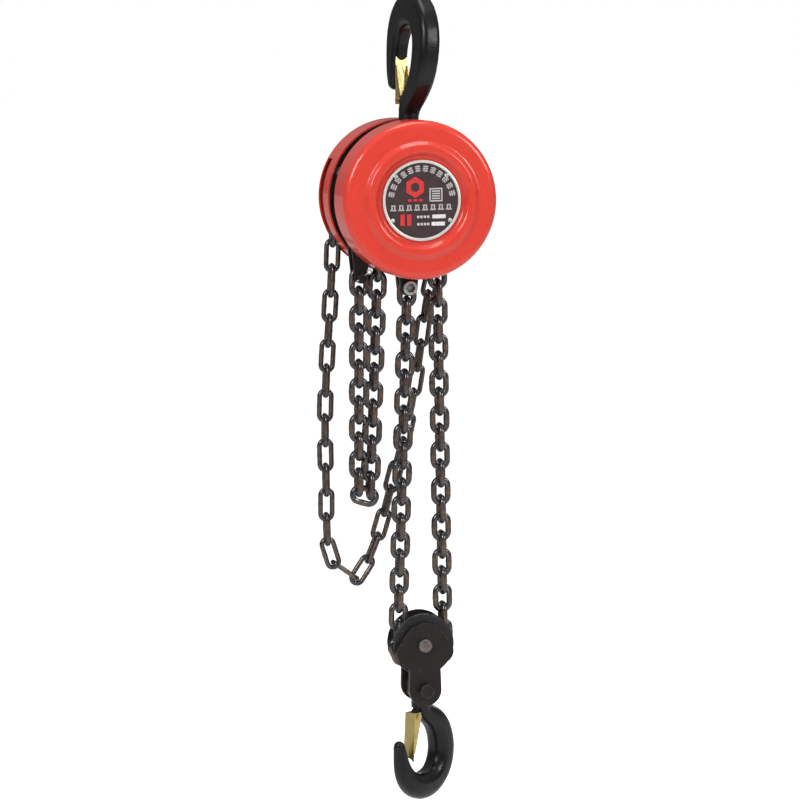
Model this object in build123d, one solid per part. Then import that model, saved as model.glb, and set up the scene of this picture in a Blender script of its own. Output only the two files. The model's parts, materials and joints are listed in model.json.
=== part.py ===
from build123d import *
from math import acos, asin, atan2, cos, degrees, hypot, pi, radians, sin, sqrt, tan
import os

# Two-tonne hand chain hoist hung from its top hook, with two falls of load chain.
# Millimetres. Origin: centre of the top hook's bowl. +X right, +Y towards the hand wheel, +Z up.
# The load chain runs in the plane Y = 0, between the two side plates.

# ---- driving dimensions: chains ----
LOAD_WIRE = 6.0
LOAD_PITCH = 18.0
LOAD_OUTER_WIDTH = 20.3
HAND_WIRE = 5.0
HAND_PITCH = 25.0
HAND_OUTER_WIDTH = 17.0
LINK_PLAY = 0.4

# ---- driving dimensions: body ----
SHAFT_X = -1.5
SHAFT_Z = -149.0
PLATE_INNER = 12.5
PLATE_OUTER = 17.5
PLATE_RADIUS = 75.2
COVER_RADIUS = 77.0
COVER_WALL = 1.5
COVER_RIM = 12.6
SHOULDER = 7.5
GEAR_COVER_FACE = 53.0
HAND_COVER_FACE = 59.0
HAND_COVER_BOSS = 69.0
HAND_CHAIN_Y = 44.0
STAY_RADIUS = 67.0
STAY_ANGLES = (158.0, 22.0, 222.0, 318.0)
SCREW_RADIUS = 69.0
SCREW_ANGLES = (55.0, 125.0, 255.0, 285.0)

# ---- driving dimensions: gear train ----
PRESSURE_ANGLE = radians(20.0)
GEAR_CENTRES = 37.5
PINION_TEETH = 10
DISC_TEETH = 50
LOAD_TEETH = 40
ADDENDUM = 0.8
SHIFT = 0.45
ROOT_CLEARANCE = 0.3
TOOTH_THINNING = 0.12

# ---- driving dimensions: pocket wheels ----
LOAD_POCKETS = 5
SHEAVE_POCKETS = 4
HAND_POCKETS = 8
SPROCKET_PHASE = 2.6

# ---- driving dimensions: hooks, block and anchors ----
TOP_HOOK_TURN = 100.0
TOP_HOOK_LEAN = 3.0
BOTTOM_HOOK_TURN = 218.0
SEAT_RADIUS = 19.2
TOP_BEAM_Z = -88.0
SHEAVE_X = 6.5
SHEAVE_Z = -593.8
BLOCK_BEAM_DROP = 45.5
BOTTOM_SEAT_Z = -708.0
CHEEK_INNER = 12.6
CHEEK_THICK = 5.0
ANCHOR_X = -3.0
ANCHOR_PIN = 3.75
LUG_PIN_X = -51.5
RUNNING = 0.05

# ---- worked out from the above ----
LOAD_R = sqrt((LOAD_PITCH / sin(pi / 2 / LOAD_POCKETS)) ** 2 + (LOAD_WIRE / cos(pi / 2 / LOAD_POCKETS)) ** 2) / 2
SHEAVE_R = sqrt((LOAD_PITCH / sin(pi / 2 / SHEAVE_POCKETS)) ** 2 + (LOAD_WIRE / cos(pi / 2 / SHEAVE_POCKETS)) ** 2) / 2
HAND_R = sqrt((HAND_PITCH / sin(pi / 2 / HAND_POCKETS)) ** 2 + (HAND_WIRE / cos(pi / 2 / HAND_POCKETS)) ** 2) / 2
LONG_STEP = LOAD_PITCH + LOAD_WIRE
SHORT_STEP = LOAD_PITCH - LOAD_WIRE
BLOCK_BEAM_Z = SHEAVE_Z - BLOCK_BEAM_DROP
LEANING = Rot(0, TOP_HOOK_LEAN, 0)
BODY_SHIFT_X = TOP_BEAM_Z * sin(radians(TOP_HOOK_LEAN))
BODY_SHIFT_Z = TOP_BEAM_Z * (cos(radians(TOP_HOOK_LEAN)) - 1)
HANGING = Pos(BODY_SHIFT_X, 0, BODY_SHIFT_Z)


# ---------------------------------------------------------------- small helpers
def bar_y(radius, y0, y1, x=0.0, z=0.0):
    """Round bar along Y."""
    return Pos(x, (y0 + y1) / 2, z) * Rot(90, 0, 0) * Cylinder(radius, abs(y1 - y0))


def ring_y(outer, inner, y0, y1, x=0.0, z=0.0):
    return bar_y(outer, y0, y1, x, z) - bar_y(inner, y0 - 1, y1 + 1, x, z)


def bar_z(radius, z0, z1, x=0.0, y=0.0):
    return Pos(x, y, (z0 + z1) / 2) * Cylinder(radius, abs(z1 - z0))


def block(x0, x1, y0, y1, z0, z1):
    return Pos((x0 + x1) / 2, (y0 + y1) / 2, (z0 + z1) / 2) * Box(x1 - x0, y1 - y0, z1 - z0)


def plate_y(sketch, y0, y1):
    """A sketch drawn as (x, z), made solid from y0 to y1."""
    return extrude(Plane.XZ.offset(-y1) * sketch, y1 - y0)


def hex_y(across_flats, y0, y1, x, z):
    return plate_y(Pos(x, z) * RegularPolygon(across_flats / 2, 6, major_radius=False), y0, y1)


def around(radius, angle, x=SHAFT_X, z=SHAFT_Z):
    """Point at an angle on a circle round an axis along Y."""
    return x + radius * cos(radians(angle)), z + radius * sin(radians(angle))


def hull_of(circles):
    """Outline wrapped round circles given as (x, z, radius)."""
    edges = [edge for x, z, r in circles for edge in (Pos(x, z) * Circle(r)).edges()]
    return make_hull(edges)


def write(name, solids, place=HANGING):
    """One STEP file for one sub-part; everything below the leaning top hook hangs a little to its left."""
    solids = solids if isinstance(solids, (list, tuple)) else [solids]
    bodies = [place * body for item in solids for body in item.solids()]
    shape = bodies[0] if len(bodies) == 1 else Compound(children=bodies)
    shape.label = name
    export_step(shape, os.path.join("parts", name + ".step"))


# ---------------------------------------------------------------- chain
def link_shape(pitch, wire, outer_width):
    """One link at the origin, long axis X, lying in the XY plane."""
    bend = (outer_width - wire) / 2
    half = (pitch + LINK_PLAY + wire) / 2 - bend
    path = SlotOverall(2 * (half + bend), 2 * bend).wire()
    return sweep(Plane(path @ 0, z_dir=path % 0) * Circle(wire / 2), path=path)


LOAD_LINK = link_shape(LOAD_PITCH, LOAD_WIRE, LOAD_OUTER_WIDTH).solid()
HAND_LINK = link_shape(HAND_PITCH, HAND_WIRE, HAND_OUTER_WIDTH).solid()


def links_between(pivots, link, first_standing, y=0.0):
    """Links from pivot to pivot, turned alternately: standing ones lie in the XZ plane."""
    links = []
    standing = first_standing
    for (x0, z0), (x1, z1) in zip(pivots, pivots[1:]):
        along = Vector(x1 - x0, 0, z1 - z0).normalized()
        across = Vector(0, 1, 0)
        normal = across if standing else along.cross(across)
        middle = Plane(origin=((x0 + x1) / 2, y, (z0 + z1) / 2), x_dir=along, z_dir=normal)
        links.append(middle.location * link)
        standing = not standing
    return links


def step_line(start, toward, count, first_standing, pitch=LOAD_PITCH, wire=LOAD_WIRE):
    """Pivots of a taut strand: short steps for standing links and long ones for lying links."""
    dx, dz = toward[0] - start[0], toward[1] - start[1]
    reach = hypot(dx, dz)
    pivots = [start]
    standing = first_standing
    for _ in range(count):
        step = pitch - wire if standing else pitch + wire
        x, z = pivots[-1]
        pivots.append((x + step * dx / reach, z + step * dz / reach))
        standing = not standing
    return pivots


def chord_angle(step, radius):
    return degrees(2 * asin(step / 2 / radius))


def wrap_pivots(radius, start, count, first_standing, x, z, turn, pitch=LOAD_PITCH, wire=LOAD_WIRE):
    """Pivots of links seated on a pocket wheel; turn is 1 against the clock seen from the front."""
    angle = start
    pivots = [around(radius, angle, x, z)]
    standing = first_standing
    for _ in range(count):
        angle += turn * chord_angle(pitch - wire if standing else pitch + wire, radius)
        pivots.append(around(radius, angle, x, z))
        standing = not standing
    return pivots


# sprocket: the live fall leaves on the right, the slack strand on the left
SPROCKET_WRAP = wrap_pivots(LOAD_R, SPROCKET_PHASE, 5, False, SHAFT_X, SHAFT_Z, 1)
LIVE_TOP = SPROCKET_WRAP[0]
SLACK_TOP = SPROCKET_WRAP[-1]

# live fall: standing links first, down to the sheave's right side
LIVE_COUNT = 25
LIVE_DROP = LIVE_COUNT // 2 * (LONG_STEP + SHORT_STEP) + SHORT_STEP
SHEAVE_PHASE = degrees(asin((LIVE_TOP[1] - LIVE_DROP - SHEAVE_Z) / SHEAVE_R))
SHEAVE_WRAP = wrap_pivots(SHEAVE_R, SHEAVE_PHASE, 4, False, SHEAVE_X, SHEAVE_Z, -1)
LIVE_END = SHEAVE_WRAP[0]
DEAD_END = SHEAVE_WRAP[-1]

# dead fall: up to the anchor pin, which sits inside the last standing link
ANCHOR_LINK = (LOAD_PITCH + LINK_PLAY) - LOAD_WIRE / 2 - ANCHOR_PIN - LINK_PLAY / 2
DEAD_COUNT = 19
DEAD_REACH = (DEAD_COUNT + 1) // 2 * LONG_STEP + DEAD_COUNT // 2 * SHORT_STEP + ANCHOR_LINK
ANCHOR_Z = DEAD_END[1] + sqrt(DEAD_REACH ** 2 - (ANCHOR_X - DEAD_END[0]) ** 2)

# slack loop: down from the sprocket, one link across, up to the lug on the frame
SLACK_PAIRS = 8
LOOP_TURN_X = -43.5
SLACK_REACH = SLACK_PAIRS * (LONG_STEP + SHORT_STEP)
LOOP_DROP = sqrt(SLACK_REACH ** 2 - (LOOP_TURN_X - SLACK_TOP[0]) ** 2)
LOOP_LOW = (LOOP_TURN_X, SLACK_TOP[1] - LOOP_DROP)
LOOP_TILT = 18.0
LOOP_FAR = (LOOP_LOW[0] - SHORT_STEP * cos(radians(LOOP_TILT)), LOOP_LOW[1] + SHORT_STEP * sin(radians(LOOP_TILT)))
RISER_PAIRS = 5
RISER_REACH = RISER_PAIRS * (LONG_STEP + SHORT_STEP) + LONG_STEP + ANCHOR_LINK
LUG_PIN_Z = LOOP_FAR[1] + sqrt(RISER_REACH ** 2 - (LUG_PIN_X - LOOP_FAR[0]) ** 2)


# the strands swing about one height below the body, so their upper links stay with the frame
LIVE_HELD = 5
SLACK_HELD = 4
LIVE_PIVOTS = step_line(LIVE_TOP, LIVE_END, LIVE_COUNT, True)
SLACK_PIVOTS = step_line(SLACK_TOP, LOOP_LOW, 2 * SLACK_PAIRS, True)


def live_fall():
    return links_between(LIVE_PIVOTS[LIVE_HELD:], LOAD_LINK, False)


def dead_fall():
    pivots = step_line(DEAD_END, (ANCHOR_X, ANCHOR_Z), DEAD_COUNT + 1, False)
    return links_between(pivots, LOAD_LINK, False)


def slack_loop():
    up = step_line(LOOP_FAR, (LUG_PIN_X, LUG_PIN_Z), 2 * RISER_PAIRS + 2, False)
    across = links_between([LOOP_LOW, LOOP_FAR], LOAD_LINK, True)
    down = links_between(SLACK_PIVOTS[SLACK_HELD:], LOAD_LINK, True)
    return down + across + links_between(up, LOAD_LINK, False)


def sprocket_wrap():
    """Links seated on the sprocket and the ends of both strands inside the body."""
    live = links_between(LIVE_PIVOTS[:LIVE_HELD + 1], LOAD_LINK, True)
    slack = links_between(SLACK_PIVOTS[:SLACK_HELD + 1], LOAD_LINK, True)
    return live + links_between(SPROCKET_WRAP, LOAD_LINK, False) + slack


def sheave_wrap():
    return links_between(SHEAVE_WRAP, LOAD_LINK, False)


def smooth_path(points, count):
    """Points along a smooth curve through a few given ones."""
    curve = Spline(*[(x, z) for x, z in points])
    return [((curve @ (i / count)).X, (curve @ (i / count)).Y) for i in range(count + 1)]


def walk(path, first_standing, pitch, wire):
    """Pivots whose alternating steps are chords of a path."""
    pivots = [path[0]]
    standing = first_standing
    for (x0, z0), (x1, z1) in zip(path, path[1:]):
        step = pitch - wire if standing else pitch + wire
        px, pz = pivots[-1]
        near, far = hypot(x0 - px, z0 - pz), hypot(x1 - px, z1 - pz)
        if near < step <= far:
            share = (step - near) / (far - near)
            pivots.append((x0 + share * (x1 - x0), z0 + share * (z1 - z0)))
            standing = not standing
    return pivots


# hand chain: from the wheel's left side, round the low turn and up behind to its right side
HAND_LEFT = 178.0
HAND_WRAP_COUNT = 9
HAND_LOW_X = -52.0
HAND_WRAP = wrap_pivots(HAND_R, HAND_LEFT, HAND_WRAP_COUNT, False, SHAFT_X, SHAFT_Z, -1, HAND_PITCH, HAND_WIRE)
HAND_LOOP_PAIRS = 15


def hand_loop_path(low_z):
    """Free curve of the hand chain, hanging to the height low_z."""
    x0, z0 = HAND_WRAP[0]
    x1, z1 = HAND_WRAP[-1]
    return smooth_path([
        (x0, z0), (x0 - 3.5, z0 - 90), (x0 - 12.0, low_z + 155), (x0 - 12.0, low_z + 70),
        (HAND_LOW_X - 16, low_z + 14), (HAND_LOW_X, low_z), (HAND_LOW_X + 16, low_z + 18),
        (-12.9, low_z + 84), (9.3, low_z + 164), (24.0, low_z + 245), (x1 - 19.0, z1 - 48), (x1, z1),
    ], 1200)


def hand_loop_pivots():
    """Hangs the loop low enough that a whole number of links reaches back to the wheel."""
    pair = 2 * HAND_PITCH
    wanted = HAND_LOOP_PAIRS * pair + HAND_PITCH - HAND_WIRE
    high, low = -480.0, -620.0
    for _ in range(30):
        middle = (high + low) / 2
        pivots = walk(hand_loop_path(middle), True, HAND_PITCH, HAND_WIRE)
        links = len(pivots) - 1
        walked = links // 2 * pair + links % 2 * (HAND_PITCH - HAND_WIRE)
        left = hypot(pivots[-1][0] - HAND_WRAP[-1][0], pivots[-1][1] - HAND_WRAP[-1][1])
        if walked + left > wanted:
            low = middle
        else:
            high = middle
    return pivots[:2 * HAND_LOOP_PAIRS + 1] + [HAND_WRAP[-1]]


HAND_LOOP = hand_loop_pivots()
HAND_HELD_LEFT = 2
HAND_HELD_RIGHT = 1


def hand_chain_loop():
    free = HAND_LOOP[HAND_HELD_LEFT:-HAND_HELD_RIGHT]
    return links_between(free, HAND_LINK, True, HAND_CHAIN_Y)


def hand_chain_wrap():
    """Links on the hand wheel and those just inside the cover."""
    left = links_between(HAND_LOOP[:HAND_HELD_LEFT + 1], HAND_LINK, True, HAND_CHAIN_Y)
    right = links_between(HAND_LOOP[-HAND_HELD_RIGHT - 1:], HAND_LINK, True, HAND_CHAIN_Y)
    return left + links_between(HAND_WRAP, HAND_LINK, False, HAND_CHAIN_Y) + right


# ---------------------------------------------------------------- pocket wheels
def pocket_wheel(pockets, radius, outer, half_width, phase, pitch, wire, outer_width):
    """Wheel on the Y axis whose pockets seat the lying links; phase is a lying link's first pivot."""
    long_chord = chord_angle(pitch + wire, radius)
    floor = sqrt(radius ** 2 - ((pitch + wire) / 2) ** 2) - wire / 2 - 0.3
    groove = sqrt(radius ** 2 - ((pitch - wire) / 2) ** 2) - outer_width / 2 - 0.6
    wheel = bar_y(outer, -half_width, half_width)
    wheel = chamfer(wheel.edges().filter_by(GeomType.CIRCLE), 1.0)
    wheel -= ring_y(outer + 5, groove, -wire / 2 - 0.7, wire / 2 + 0.7)
    length = pitch + 2 * wire + 2.4
    width = outer_width + 1.2
    wheel -= ring_y(outer + 5, radius - 2.6, -width / 2, width / 2)
    for k in range(pockets):
        seat = RectangleRounded(length, width, width * 0.42)
        pocket = Pos(0, 0, floor) * extrude(seat, outer)
        turn = phase + long_chord / 2 + k * 360 / pockets
        wheel -= Rot(0, 90 - turn, 0) * pocket
    return wheel


# ---------------------------------------------------------------- gears
def involute(angle):
    return tan(angle) - angle


def gear_sketch(teeth, module, shift, tip, root, phase):
    """Involute outline with its first tooth centred at phase (degrees)."""
    pitch = module * teeth / 2
    base = pitch * cos(PRESSURE_ANGLE)
    thick = module * (pi / 2 + 2 * shift * tan(PRESSURE_ANGLE)) - TOOTH_THINNING
    at_base = thick / 2 / pitch + involute(PRESSURE_ANGLE)
    low = max(base, root)
    flank = []
    for i in range(5):
        r = low + (tip - low) * i / 4
        flank.append((r, at_base - involute(acos(min(1.0, base / r)))))
    if root < base:
        flank.insert(0, (root, at_base))
    points = []
    for k in range(teeth):
        centre = radians(phase) + 2 * pi * k / teeth
        points += [(r * cos(centre - a), r * sin(centre - a)) for r, a in flank]
        points += [(r * cos(centre + a), r * sin(centre + a)) for r, a in reversed(flank)]
    return make_face(Polyline(*points, close=True))


def mesh_radii(module, large_teeth):
    """Tip and root radii of a pinion and its gear on the common centre distance."""
    pinion_tip = module * (PINION_TEETH / 2 + ADDENDUM + SHIFT)
    gear_tip = module * (large_teeth / 2 + ADDENDUM - SHIFT)
    pinion_root = GEAR_CENTRES - gear_tip - ROOT_CLEARANCE
    gear_root = GEAR_CENTRES - pinion_tip - ROOT_CLEARANCE
    return pinion_tip, pinion_root, gear_tip, gear_root


INPUT_MODULE = 2 * GEAR_CENTRES / (PINION_TEETH + DISC_TEETH)
OUTPUT_MODULE = 2 * GEAR_CENTRES / (PINION_TEETH + LOAD_TEETH)
INPUT_Y = (-35.5, -29.5)
OUTPUT_Y = (-28.5, -19.5)
BEARING_PLATE_Y = (-41.0, -37.0)


def input_pinion():
    tip, root, _, _ = mesh_radii(INPUT_MODULE, DISC_TEETH)
    return plate_y(gear_sketch(PINION_TEETH, INPUT_MODULE, SHIFT, tip, root, 0), INPUT_Y[0] - 0.5, INPUT_Y[1])


def disc_gear(side):
    """Large disc gear with its small pinion and journals, to one side of the shaft."""
    _, _, tip, root = mesh_radii(INPUT_MODULE, DISC_TEETH)
    disc = plate_y(gear_sketch(DISC_TEETH, INPUT_MODULE, -SHIFT, tip, root, 180 / DISC_TEETH), *INPUT_Y)
    for k in range(6):
        hx, hz = around(19.0, 60 * k + 30, 0, 0)
        disc -= bar_y(4.5, INPUT_Y[0] - 1, INPUT_Y[1] + 1, hx, hz)
    small_tip, small_root, _, _ = mesh_radii(OUTPUT_MODULE, LOAD_TEETH)
    small = plate_y(
        gear_sketch(PINION_TEETH, OUTPUT_MODULE, SHIFT, small_tip, small_root, 0), OUTPUT_Y[0] - 1, OUTPUT_Y[1]
    )
    shaft = bar_y(4.5, BEARING_PLATE_Y[0], -PLATE_INNER - 0.5)
    return Pos(SHAFT_X + side * GEAR_CENTRES, 0, SHAFT_Z) * (disc + small + shaft)


def load_gear():
    _, _, tip, root = mesh_radii(OUTPUT_MODULE, LOAD_TEETH)
    gear = plate_y(gear_sketch(LOAD_TEETH, OUTPUT_MODULE, -SHIFT, tip, root, 180 / LOAD_TEETH), *OUTPUT_Y)
    gear -= plate_y(hub_spline(12.0), OUTPUT_Y[0] - 1, OUTPUT_Y[1] + 1)
    for k in range(6):
        hx, hz = around(20.0, 60 * k, 0, 0)
        gear -= bar_y(3.5, OUTPUT_Y[0] - 1, OUTPUT_Y[1] + 1, hx, hz)
    return Pos(SHAFT_X, 0, SHAFT_Z) * gear


def hub_spline(radius):
    """Six-key spline outline."""
    outline = Circle(radius - 1.5)
    for k in range(6):
        outline += Rot(0, 0, 60 * k) * Pos(radius / 2, 0) * Rectangle(radius, 4.0)
    return outline


def snap_ring(shaft_radius, y0, y1, gap_angle=270.0):
    ring = ring_y(shaft_radius + 2.5, shaft_radius, y0, y1)
    gap = Rot(0, -gap_angle, 0) * block(0, 30, y0 - 1, y1 + 1, -2, 2)
    return ring - gap


def load_gear_ring():
    return Pos(SHAFT_X, 0, SHAFT_Z) * snap_ring(10.5, OUTPUT_Y[0] - 0.9, OUTPUT_Y[0] + 0.0)


# ---------------------------------------------------------------- shaft line
JOURNAL = 16.0
SHAFT_RADIUS = 6.0
HUB_SEAT = 7.5
SHAFT_THREAD = 7.0
BEARING_OUTER = 23.0
BALL_CIRCLE = 19.5
BALL_RADIUS = 1.9
BALLS = 18


def load_sprocket():
    wheel = pocket_wheel(
        LOAD_POCKETS, LOAD_R, 33.5, 12.2, SPROCKET_PHASE, LOAD_PITCH, LOAD_WIRE, LOAD_OUTER_WIDTH
    )
    wheel += bar_y(JOURNAL, -PLATE_OUTER - 0.6, PLATE_OUTER)
    wheel += plate_y(hub_spline(11.9), -28.4, -PLATE_OUTER)
    wheel += bar_y(10.4, -29.4, -28.4)
    wheel -= bar_y(SHAFT_RADIUS + RUNNING, -40, 40)
    return Pos(SHAFT_X, 0, SHAFT_Z) * wheel


def side_slices():
    return ((-PLATE_OUTER, -PLATE_INNER), (PLATE_INNER, PLATE_OUTER))


def bearing_outer_rings():
    return [ring_y(BEARING_OUTER, 21.5, y0, y1, SHAFT_X, SHAFT_Z) for y0, y1 in side_slices()]


def bearing_inner_rings():
    return [ring_y(17.5, JOURNAL, y0, y1, SHAFT_X, SHAFT_Z) for y0, y1 in side_slices()]


def bearing_balls():
    balls = []
    for y0, y1 in side_slices():
        for k in range(BALLS):
            x, z = around(BALL_CIRCLE, 360 / BALLS * k)
            balls.append(Pos(x, (y0 + y1) / 2, z) * Sphere(BALL_RADIUS))
    return balls


HUB_FLANGE_Y = (18.6, 22.6)
INNER_DISC_Y = (22.6, 25.1)
RATCHET_Y = (25.2, 30.2)
OUTER_DISC_Y = (30.3, 32.8)
HAND_WHEEL_Y = (32.8, 54.0)
CASTLE_NUT_Y = (54.0, 62.0)
BRAKE_BORE = 15.0


def drive_shaft():
    """Input pinion at the front, a spline for the brake hub and a threaded end for the hand wheel."""
    shaft = bar_y(5.0, BEARING_PLATE_Y[0], INPUT_Y[0] - 0.5)
    shaft += input_pinion()
    shaft += bar_y(SHAFT_RADIUS, INPUT_Y[1], 17.6)
    shaft += bar_y(HUB_SEAT, 17.6, HAND_WHEEL_Y[0])
    shaft += bar_y(SHAFT_THREAD, HAND_WHEEL_Y[0], 64.0)
    shaft -= Pos(0, 60.0, 0) * Cylinder(1.3, 40)
    return Pos(SHAFT_X, 0, SHAFT_Z) * shaft


def friction_hub():
    hub = bar_y(30.0, *HUB_FLANGE_Y) + bar_y(BRAKE_BORE - 0.3, HUB_FLANGE_Y[1], 32.6)
    hub -= bar_y(HUB_SEAT, 10, 40)
    return Pos(SHAFT_X, 0, SHAFT_Z) * hub


def friction_discs():
    return [ring_y(30.0, BRAKE_BORE, *span, SHAFT_X, SHAFT_Z) for span in (INNER_DISC_Y, OUTER_DISC_Y)]


RATCHET_TEETH = 12
RATCHET_TIP = 40.0
RATCHET_ROOT = 35.0
PAWL_STUD_RADIUS = 58.0
PAWL_ANGLES = (120.0, 300.0)
PAWL_LAG = 45.0
PAWL_CLEARANCE = 0.35


def ratchet_disc():
    points = []
    for k in range(RATCHET_TEETH):
        angle = 360 / RATCHET_TEETH * k
        points.append(around(RATCHET_ROOT, angle, 0, 0))
        points.append(around(RATCHET_TIP, angle, 0, 0))
        points.append(around((RATCHET_TIP + RATCHET_ROOT) / 2, angle + 180 / RATCHET_TEETH, 0, 0))
    disc = plate_y(make_face(Polyline(*points, close=True)), *RATCHET_Y)
    return Pos(SHAFT_X, 0, SHAFT_Z) * (disc - bar_y(BRAKE_BORE, 20, 40))


def pawl_stud_point(angle):
    return around(PAWL_STUD_RADIUS, angle - PAWL_LAG)


def pawl(angle):
    """Pawl whose nose stands just clear of a tooth's steep face, on a stud further round."""
    nose = 1.5
    nose_angle = angle - degrees((nose + PAWL_CLEARANCE) / 38.5)
    nx, nz = around(38.5, nose_angle)
    sx, sz = pawl_stud_point(angle)
    outline = hull_of([(nx, nz, nose), (sx, sz, 6.0)])
    body = plate_y(outline, RATCHET_Y[0] + 0.3, RATCHET_Y[1] - 0.3)
    return body - bar_y(3.0 + RUNNING, 20, 40, sx, sz)


def pawl_studs():
    studs = []
    for angle in PAWL_ANGLES:
        x, z = pawl_stud_point(angle)
        stud = bar_y(3.0, PLATE_INNER + 0.5, 31.4, x, z) + bar_y(5.0, PLATE_OUTER, 20.5, x, z)
        studs.append(stud + bar_y(4.5, 30.2, 31.4, x, z))
    return studs


def pawl_springs():
    """Torsion springs on the stud collars, each with one leg along its pawl."""
    springs = []
    for angle in PAWL_ANGLES:
        x, z = pawl_stud_point(angle)
        coil_path = Helix(pitch=1.1, height=3.3, radius=5.9)
        coil = sweep(Plane(coil_path @ 0, z_dir=coil_path % 0) * Circle(0.45), path=coil_path)
        springs.append(Pos(x, 24.6, z) * Rot(90, 0, 0) * coil)
    return springs


def hand_wheel():
    wheel = pocket_wheel(
        HAND_POCKETS, HAND_R, 69.0, 10.0, hand_wheel_phase(), HAND_PITCH, HAND_WIRE, HAND_OUTER_WIDTH
    )
    wheel -= ring_y(50.0, 26.0, 3.0, 12.0) + ring_y(50.0, 26.0, -12.0, -3.0)
    for k in range(HAND_POCKETS):
        x, z = around(38.0, 360 / HAND_POCKETS * (k + 0.5), 0, 0)
        wheel -= bar_y(6.0, -12, 12, x, z)
    wheel = Pos(0, HAND_CHAIN_Y, 0) * wheel + bar_y(28.0, HAND_WHEEL_Y[0], HAND_CHAIN_Y)
    wheel -= bar_y(SHAFT_THREAD, 30, 60)
    return Pos(SHAFT_X, 0, SHAFT_Z) * wheel


def hand_wheel_phase():
    """Angle of a pivot that starts a lying link, counted against the clock."""
    return HAND_LEFT - chord_angle(HAND_PITCH + HAND_WIRE, HAND_R)


def castle_nut():
    nut = hex_y(24.0, CASTLE_NUT_Y[0], CASTLE_NUT_Y[1], 0, 0)
    for k in range(3):
        nut -= Rot(0, 60 * k + 90, 0) * block(-20, 20, 58.4, 63.0, -1.6, 1.6)
    nut -= bar_y(SHAFT_THREAD, 50, 70)
    return Pos(SHAFT_X, 0, SHAFT_Z) * nut


def split_pin():
    """Split pin through the shaft end: a doubled wire with an eye and spread legs."""
    stem = Pos(SHAFT_X, 60.0, SHAFT_Z) * Cylinder(1.25, 26)
    eye = Pos(SHAFT_X, 60.0, SHAFT_Z + 15.0) * Rot(0, 90, 0) * Torus(2.2, 0.8)
    return stem + eye


# ---------------------------------------------------------------- frame
def plate_blank(y0, y1):
    """Round side plate with holes for the stays, screws, beam, rollers, anchor bolt and stripper."""
    plate = bar_y(PLATE_RADIUS, y0, y1, SHAFT_X, SHAFT_Z)
    plate -= bar_y(BEARING_OUTER, y0 - 1, y1 + 1, SHAFT_X, SHAFT_Z)
    plate -= bar_y(TRUNNION + RUNNING, y0 - 1, y1 + 1, 0, TOP_BEAM_Z)
    plate -= bar_y(ANCHOR_BOLT, y0 - 1, y1 + 1, ANCHOR_X, CLEVIS_BOLT_Z)
    plate -= bar_y(STRIPPER_PIN, y0 - 1, y1 + 1, SHAFT_X, STRIPPER_PIN_Z)
    for side in (-1, 1):
        plate -= bar_y(ROLLER_PIN, y0 - 1, y1 + 1, SHAFT_X + side * ROLLER_X, ROLLER_Z)
    for angle in STAY_ANGLES:
        plate -= bar_y(STAY_THREAD, y0 - 1, y1 + 1, *around(STAY_RADIUS, angle))
    for angle in SCREW_ANGLES:
        plate -= bar_y(SCREW_THREAD, y0 - 1, y1 + 1, *around(SCREW_RADIUS, angle))
    return plate


TRUNNION = 7.0
ANCHOR_BOLT = 4.0
STRIPPER_PIN = 2.5
STRIPPER_PIN_Z = SHAFT_Z - 42.0
CLEVIS_BOLT_Z = SHAFT_Z - 60.0
ROLLER_PIN = 3.0
ROLLER_RADIUS = 7.0
ROLLER_X = 48.0
ROLLER_Z = SHAFT_Z - 26.0
STAY_THREAD = 4.0
SCREW_THREAD = 2.0


def gear_side_plate():
    plate = plate_blank(-PLATE_OUTER, -PLATE_INNER)
    for side in (-1, 1):
        plate -= bar_y(6.5, -PLATE_OUTER - 1, -PLATE_INNER + 1, SHAFT_X + side * GEAR_CENTRES, SHAFT_Z)
    for angle in SPACER_ANGLES:
        plate -= bar_y(3.0, -PLATE_OUTER - 1, -PLATE_INNER + 1, *around(SPACER_REACH, angle))
    return plate


def hand_side_plate():
    plate = plate_blank(PLATE_INNER, PLATE_OUTER)
    for angle in PAWL_ANGLES:
        x, z = pawl_stud_point(angle)
        plate -= bar_y(3.0, PLATE_INNER - 1, PLATE_OUTER + 1, x, z)
    return plate


def stay_bolts():
    """Hexagonal spacers between the plates, with threaded ends."""
    stays = []
    for angle in STAY_ANGLES:
        x, z = around(STAY_RADIUS, angle)
        stays.append(hex_y(12.0, -PLATE_INNER, PLATE_INNER, x, z) + bar_y(STAY_THREAD, -23.5, 23.5, x, z))
    return stays


def stay_nuts():
    nuts = []
    for angle in STAY_ANGLES:
        x, z = around(STAY_RADIUS, angle)
        for y0, y1 in ((-22.5, -PLATE_OUTER), (PLATE_OUTER, 22.5)):
            nuts.append(hex_y(12.0, y0, y1, x, z) - bar_y(STAY_THREAD, y0 - 1, y1 + 1, x, z))
    return nuts


SPACER_REACH = 42.0
SPACER_ANGLES = (110.0, 290.0)


def gear_spacers():
    """Studs that carry the outer bearing plate in front of the gears."""
    studs = []
    for angle in SPACER_ANGLES:
        x, z = around(SPACER_REACH, angle)
        studs.append(bar_y(4.5, BEARING_PLATE_Y[1], -PLATE_OUTER, x, z) + bar_y(3.0, -46.0, -PLATE_INNER, x, z))
    return studs


def gear_spacer_nuts():
    nuts = []
    for angle in SPACER_ANGLES:
        x, z = around(SPACER_REACH, angle)
        y1 = BEARING_PLATE_Y[0]
        nuts.append(hex_y(10.0, y1 - 4, y1, x, z) - bar_y(3.0, -60, 0, x, z))
    return nuts


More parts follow.
